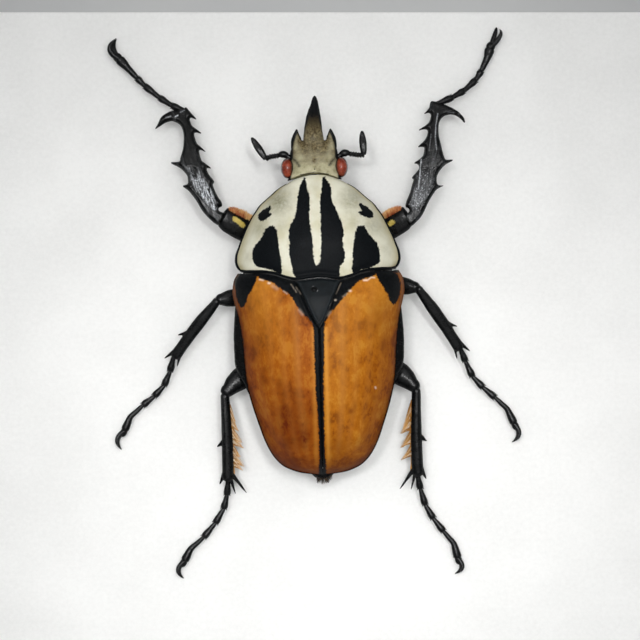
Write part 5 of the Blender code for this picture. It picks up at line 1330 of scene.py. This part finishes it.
def makeTibia(name, leg):
    root, tip = limbSpan(leg, "tibia")
    length, outward = (tip - root).length, leg["outward"]
    front = leg["kind"] == "front"
    if front:
        mesh = makeBlade(name, outward)
        spots = places(mesh)
        x, y, onTop = spots[:, 0] * outward, spots[:, 1], spots[:, 2] > 0.0
        inside, face = (depthInside(x, y, outline) for outline in (blades[name], blades["faces"][name]))
        face = np.clip(face * 2.5 + 0.3, 0.0, 1.0) * onTop
        scratch = ripple(spots, 2.2, (1.0, 0.16, 1.0), 4)
        line = ripple(spots + 40.0, 1.3, (1.0, 0.1, 1.0), 3)
        rim = bell(inside - 0.4, 0.25)
        push(mesh, 0.035 * line + face * (0.07 * scratch - 0.07) + 0.05 * rim)
        hair = ripple(spots + 80.0, 4.6, (1.0, 0.22, 1.0), 2)
        speck = ripple(spots + 20.0, 5.2, (1.0, 0.8, 1.0), 2)
        # the face is painted pale: wear with its sheen painted in, brighter on raised lines; the listed lines
        # are painted highlights
        if name == "front_l":
            worn = face * np.clip(0.42 + 1.1 * scratch + 1.3 * hair + 0.5 * speck, 0.0, 1.0)
            worn *= np.clip((9.3 - y) / 4.5, 0.35, 1.0)
        else:
            near = np.clip((10.0 - y) / 6.0, 0.0, 1.0) * np.clip(inside * 2.0 - 0.7, 0.0, 1.0)
            worn = near * onTop * np.clip(2.3 * speck + 0.6 * scratch - 0.8, 0.0, 0.75)
            worn = worn + 0.24 * face * np.clip((7.0 - y) / 5.0, 0.0, 1.0) * np.clip(0.8 + hair, 0.0, 1.5)
        worn += 0.06 * np.clip(line * 2.5 - 0.5, 0.0, 1.0) * onTop
        for a, b, width, strength in blades["highlightLines"][name]:
            worn = np.maximum(worn, strength * bell(lineDistance(x, y, a, b), width) * onTop)
    else:
        parts = [limb(tibia[leg["form"]], length, outward, lap=0.5)]
        for rootShare, rootOut, tipShare, tipOut, radius in teeth[leg["form"]]:
            parts.append(spine((outward * rootOut, rootShare * length, 0.0),
                               (outward * tipOut, tipShare * length + 0.05, -0.1), radius))
        mesh = fuse("tibia", joinParts(parts), tibia["voxel"], 3)
        spots = places(mesh)
        axis, wide = columnsOf(tibia[leg["form"]], spots[:, 1] / length)[:2]
        across = (spots[:, 0] * outward - axis) / wide
        wrinkle = ripple(spots, 1.5, (1.0, 0.28, 1.0), 4)
        above = np.clip(spots[:, 2], 0.0, 0.5) * 2.0
        push(mesh, 0.03 * wrinkle + 0.05 * bell(across - 0.35, 0.2) * above)
        worn = 0.1
    setField(mesh, "worn", worn)
    addPiece("shin_" + name, mesh, "pitted" if front else "black", ["tibia_" + name],
             limbFrame(root, tip))


def makeTarsus(name, leg):
    size = foot[leg["kind"]]
    ankle = np.array(leg["ankle"])
    points = [np.array(point) for point in leg["tarsus"]]
    way = (points[0] - ankle) / np.linalg.norm(points[0] - ankle)
    chain = [ankle - way * 0.5] + points
    draw = random.Random(name)
    parts = []
    for start, end in zip(chain[:4], chain[1:5]):
        t = np.linspace(0.0, 1.0, 22)
        knots = [(0.0, 0.28), (0.1, size["neck"])] + [(at, size["wide"] * part) for at, part in jointSwell]
        radius = curve(knots, t)
        lead = start - (end - start) * 0.06
        parts.append(tube(lead + (end - lead) * t[:, None], radius, radius * 0.9, 18))
        along = (end - start) / np.linalg.norm(end - start)
        across = np.cross(along, up)
        for side in (-1, 1):                  # small spines at the end of each joint
            foothold = start + (end - start) * 0.9 + across * side * size["wide"] * 0.6
            reach = along * 0.4 + across * side * (0.16 + 0.1 * draw.random()) - np.array((0, 0, 0.15))
            parts.append(spine(foothold, foothold + reach, 0.14, 8, 8, 0.05))
    start, bend, end = chain[4:]
    path = smoothPath([start - (bend - start) * 0.03, start + (bend - start) * 0.5, bend,
                       bend + (end - bend) * 0.6, end], 40)
    knots = [(0.0, 0.3), (0.1, size["clawNeck"])] + [(at, size["clawJoint"] * part) for at, part in clawSwell]
    radius = curve(knots, np.linspace(0.0, 1.0, 40))
    parts.append(tube(path, radius, np.minimum(radius * 0.9, 0.62), 20))
    mesh = toMesh("tarsus", joinParts(parts))
    addPiece("foot_" + name, mesh, "black", ["tarsus_" + name], wave=(0.025, 1.6))


def makeClaws(name, leg):
    footEnd, before = np.array(leg["tarsus"][-1]), np.array(leg["tarsus"][-2])
    way = (footEnd - before) / np.linalg.norm(footEnd - before)
    root = footEnd + way * 0.1
    radius = foot[leg["kind"]]["claw"]
    t = np.linspace(0.0, 1.0, 16)
    size = radius * np.sqrt(np.maximum(1.0 - (2.0 * t - 1.0) ** 2, 0.02))
    parts = [tube(root + way * (t[:, None] * 1.7 - 0.6), size * 1.45, size * 1.1, 20)]
    for height, bulge, (dx, dy) in zip((-1.0, 1.0), leg["bulge"], leg.get("tips", ((0.0, 0.0), (0.0, 0.0)))):
        start = root + np.array((0.0, 0.0, 0.15 * height))
        tip = np.array((leg["claw"][0] + dx, leg["claw"][1] + dy, root[2] + clawSpread * height - 0.1))
        across = np.cross(tip - start, up)
        elbow = start + (tip - start) * leg.get("bend", 0.55) + across / np.linalg.norm(across) * bulge * 1.6
        t = np.linspace(0.0, 1.0, 34)[:, None]
        path = start * (1 - t) ** 2 + 2 * elbow * t * (1 - t) + tip * t ** 2
        size = np.maximum(radius * leg.get("slim", 1.0) * (1.0 - 0.95 * t[:, 0] ** 2.6), 0.05)
        parts.append(tube(path, size, size, 16))
    mesh = toMesh("claws", joinParts(parts))
    addPiece("hooks_" + name, mesh, "black", ["claws_" + name])


for name, leg in legs.items():
    makeCoxa(name, leg)
    makeFemur(name, leg)
    makeTibia(name, leg)
    makeTarsus(name, leg)
    makeClaws(name, leg)
print("legs made")


# Hair: every strand is a thin tapered mesh lock

fringe = {
    # each wisp of the hind comb: share of the tibia at its tip, how far out, root span, strands
    "hind_l": [(0.3, 1.7, 0.2, 30), (0.42, 2.2, 0.26, 54), (0.57, 2.7, 0.2, 60), (0.64, 3.0, 0.22, 60),
               (0.76, 2.4, 0.15, 34), (0.88, 3.05, 0.22, 60), (0.93, 2.7, 0.16, 44), (0.5, 1.2, 0.36, 30),
               (0.99, 1.2, 0.4, 40)],
    "hind_r": [(0.51, 2.95, 0.42, 120), (0.69, 2.95, 0.2, 84), (0.85, 2.95, 0.17, 76), (0.5, 1.25, 0.4, 40),
               (0.75, 1.2, 0.3, 40), (1.0, 1.25, 0.3, 50)],
    # the strands of a wisp stand in close bundles, each of its own tone; the short wisps by the
    # tibia stay dark, and the left comb is bleached more
    "bundles": (0.0, 0.75, 0.35, 0.3, 0.65, 0.1), "shortest": 1.5, "dim": 0.1,
    "bleach": {"hind_l": 0.2, "hind_r": 0.0}, "radius": 0.05, "seeds": {"hind_l": 7, "hind_r": 8},
}
pad = {"count": 1800, "first": 0.45, "last": 0.955, "round": (-0.4, 0.6), "length": (0.8, 1.15), "tuft": 0.45,
       "radius": 0.045, "seeds": {"front_l": 17, "front_r": 18}}
apex = {"count": 360, "turn": 0.75, "lean": 0.12, "lift": (-0.2, 0.9), "length": (0.5, 1.5), "radius": 0.05,
        "seed": 27}


def strands(name, hairs, radius, sides=3, steps=5):
    # many tapered strands as one mesh; each hair is its root, way, length, bend, its root's place
    # on an unwrap of the skin, and its tone
    points, faces, tips, maps, shades = [], [], [], [], []
    t = np.linspace(0.0, 1.0, steps)
    for root, way, length, bend, home, tone in hairs:
        way = way / np.linalg.norm(way)
        across = np.cross(way, up)
        norm = np.linalg.norm(across)
        across = across / norm if norm > 0.01 else np.array((1.0, 0.0, 0.0))
        rise = np.cross(across, way)
        centres = root + way * (length * t)[:, None] + bend * (t ** 2)[:, None]
        start = len(points)
        for k in range(steps):
            size = radius * (1.0 - 0.88 * t[k] ** 1.5)
            for s in range(sides):
                a = 2.0 * math.pi * s / sides
                points.append(centres[k] + across * size * math.cos(a) + rise * size * math.sin(a))
                maps.append((home[0] + 0.003 * (t[k] - 0.5), home[1] + 0.003 * (s / sides - 0.5)))
                tips.append(t[k])
                shades.append(tone)
        faces += [tuple(start + i for i in face) for face in bandFaces(steps, sides)]
        faces.append(tuple(start + s for s in reversed(range(sides))))
        faces.append(tuple(start + (steps - 1) * sides + s for s in range(sides)))
    mesh = toMesh(name, makePart(points, faces, tip=tips, tone=shades))
    layer = mesh.uv_layers.new(name="OFBake")
    corners = np.empty(len(mesh.loops), dtype=np.int32)
    mesh.loops.foreach_get("vertex_index", corners)
    layer.data.foreach_set("uv", np.array(maps, dtype=np.float32)[corners].ravel())
    return mesh


def makeFringe(name):
    leg = legs[name]
    root, tip = limbSpan(leg, "tibia")
    length, outward = (tip - root).length, leg["outward"]
    draw = np.random.default_rng(fringe["seeds"][name])
    bundles = len(fringe["bundles"])
    hairs = []
    for tipShare, out, span, count in fringe[name]:
        dim = 1.0 if out > fringe["shortest"] else fringe["dim"]
        for k in range(count):
            bundle = k % bundles
            share = max(tipShare - 0.05 - span * (bundle + 0.7 * draw.random()) / bundles, 0.02)
            wide = float(columnsOf(tibia["hind"], share)[1])
            height = draw.uniform(-0.3, 0.35)
            start = np.array((-outward * (wide * 0.88), share * length, height))
            reach = draw.uniform(0.72, 1.0) * (1.0 - 0.1 * bundle * draw.random())
            end = np.array((-outward * (wide + (out - wide) * reach),
                            (tipShare - 0.05 * (1 - reach)) * length, height * 0.3 - 0.15))
            end += draw.normal(0.0, 0.05, 3)
            # the strand leaves its root outwards and then bends to the foot
            bend = np.array((outward * 0.2, 0.35, -0.05)) * draw.uniform(0.5, 1.3)
            way = end - start - bend
            tone = fringe["bundles"][bundle] * dim + 0.25 * draw.random() + fringe["bleach"][name]
            home = (0.05 + 0.9 * share, 0.5 + 0.5 * height)
            hairs.append((start, way, np.linalg.norm(way), bend, home, tone))
    mesh = strands("fringe", hairs, fringe["radius"])
    addPiece("comb_" + name, mesh, "golden", (), limbFrame(root, tip), sharp=180.0)


def makePad(name):
    leg = legs[name]
    root, tip = limbSpan(leg, "femur")
    length, forward = (tip - root).length, -leg["outward"]
    draw = np.random.default_rng(pad["seeds"][name])
    hairs = []
    for _ in range(pad["count"]):
        run = draw.random()
        share = pad["first"] + (pad["last"] - pad["first"]) * run
        angle = draw.uniform(*pad["round"])
        _, wide, high = (float(value) for value in columnsOf(femur["front"], share))
        start = np.array((forward * wide * math.cos(angle) * 0.97, share * length,
                          high * math.sin(angle) * 0.97))
        # the hairs are longest in the middle, and stand in tufts
        swell = max(0.0, math.sin(math.pi * (0.03 + 0.94 * run))) ** 0.3
        tuft = noise.noise((run * 11.0, angle * 2.5, 3.0))
        size = draw.uniform(*pad["length"]) * swell * (1.0 + pad["tuft"] * tuft)
        way = np.array((forward, draw.uniform(-0.1, 0.35), 0.1 + 0.9 * math.sin(angle)))
        way += draw.normal(0, 0.16, 3)
        bend = np.array((0.0, 0.25, -0.35)) * size * draw.uniform(0.5, 1.0)
        # painted light and shade: paler on the longer tufts and darker between them; also paler toward the
        # body
        tone = min(1.0, 0.05 + 1.3 * tuft + 1.0 * (1.0 - run) + 0.45 * draw.random())
        hairs.append((start, way, size, bend, (0.05 + 0.9 * share, 0.5 + 0.4 * angle), tone))
    mesh = strands("pad", hairs, pad["radius"])
    addPiece("brush_" + name, mesh, "rust", (), limbFrame(root, tip), sharp=180.0)


def makeApexHair():
    tail = trunk["pygidium"]
    draw = np.random.default_rng(apex["seed"])
    hairs = []
    for _ in range(apex["count"]):
        turn = draw.uniform(-apex["turn"], apex["turn"]) + apex["lean"]
        lift = draw.uniform(*apex["lift"])
        behind = tail["front"] - 0.2 - 1.1 * math.sqrt(1.0 - 0.8 * turn * turn)
        start = np.array((turn * tail["wide"] * 0.8, behind, tail["height"] + lift))
        clump = 0.35 * math.sin(turn * 7.0)
        way = np.array((turn * 0.35 + clump, -1.0, draw.uniform(-0.1, 0.35)))
        way += draw.normal(0, 0.12, 3)
        size = draw.uniform(*apex["length"]) * (1.0 - 0.35 * abs(turn))
        bend = np.array((0.0, 0.0, -0.3)) * size * draw.random()
        hairs.append((start, way, size, bend, (0.5 + 0.4 * turn, 0.5 + 0.3 * lift), draw.random() ** 2))
    mesh = strands("tailHair", hairs, apex["radius"])
    addPiece("tail_hair", mesh, "umber", (), sharp=180.0)


for name in ("hind_l", "hind_r"):
    makeFringe(name)
for name in ("front_l", "front_r"):
    makePad(name)
makeApexHair()
print("hair made")


# Board and floor

def makeGround():
    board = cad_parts["board"]
    board.data.materials.clear()
    board.data.materials.append(finish["board"])
    bm = bmesh.new()
    bmesh.ops.create_grid(bm, x_segments=2, y_segments=2, size=2.0)
    mesh = bpy.data.meshes.new("floor")
    bm.to_mesh(mesh)
    bm.free()
    # a plain matte table top, faintly clouded
    material, add, dress, place, _ = newMaterial("paleTableTop")
    cloud = add("TexNoise", {"Vector": place, "Scale": 0.02, "Detail": 3.0})
    grey = add("ValToRGB", {"Fac": cloud}, [(0.3, "#B9BABB"), (0.7, "#C3C4C4")])
    dress({"Base Color": grey, "Roughness": 0.8})
    mesh.materials.append(material)
    floor = bpy.data.objects.new("floor", mesh)
    bpy.context.collection.objects.link(floor)


makeGround()
print("board and floor set")
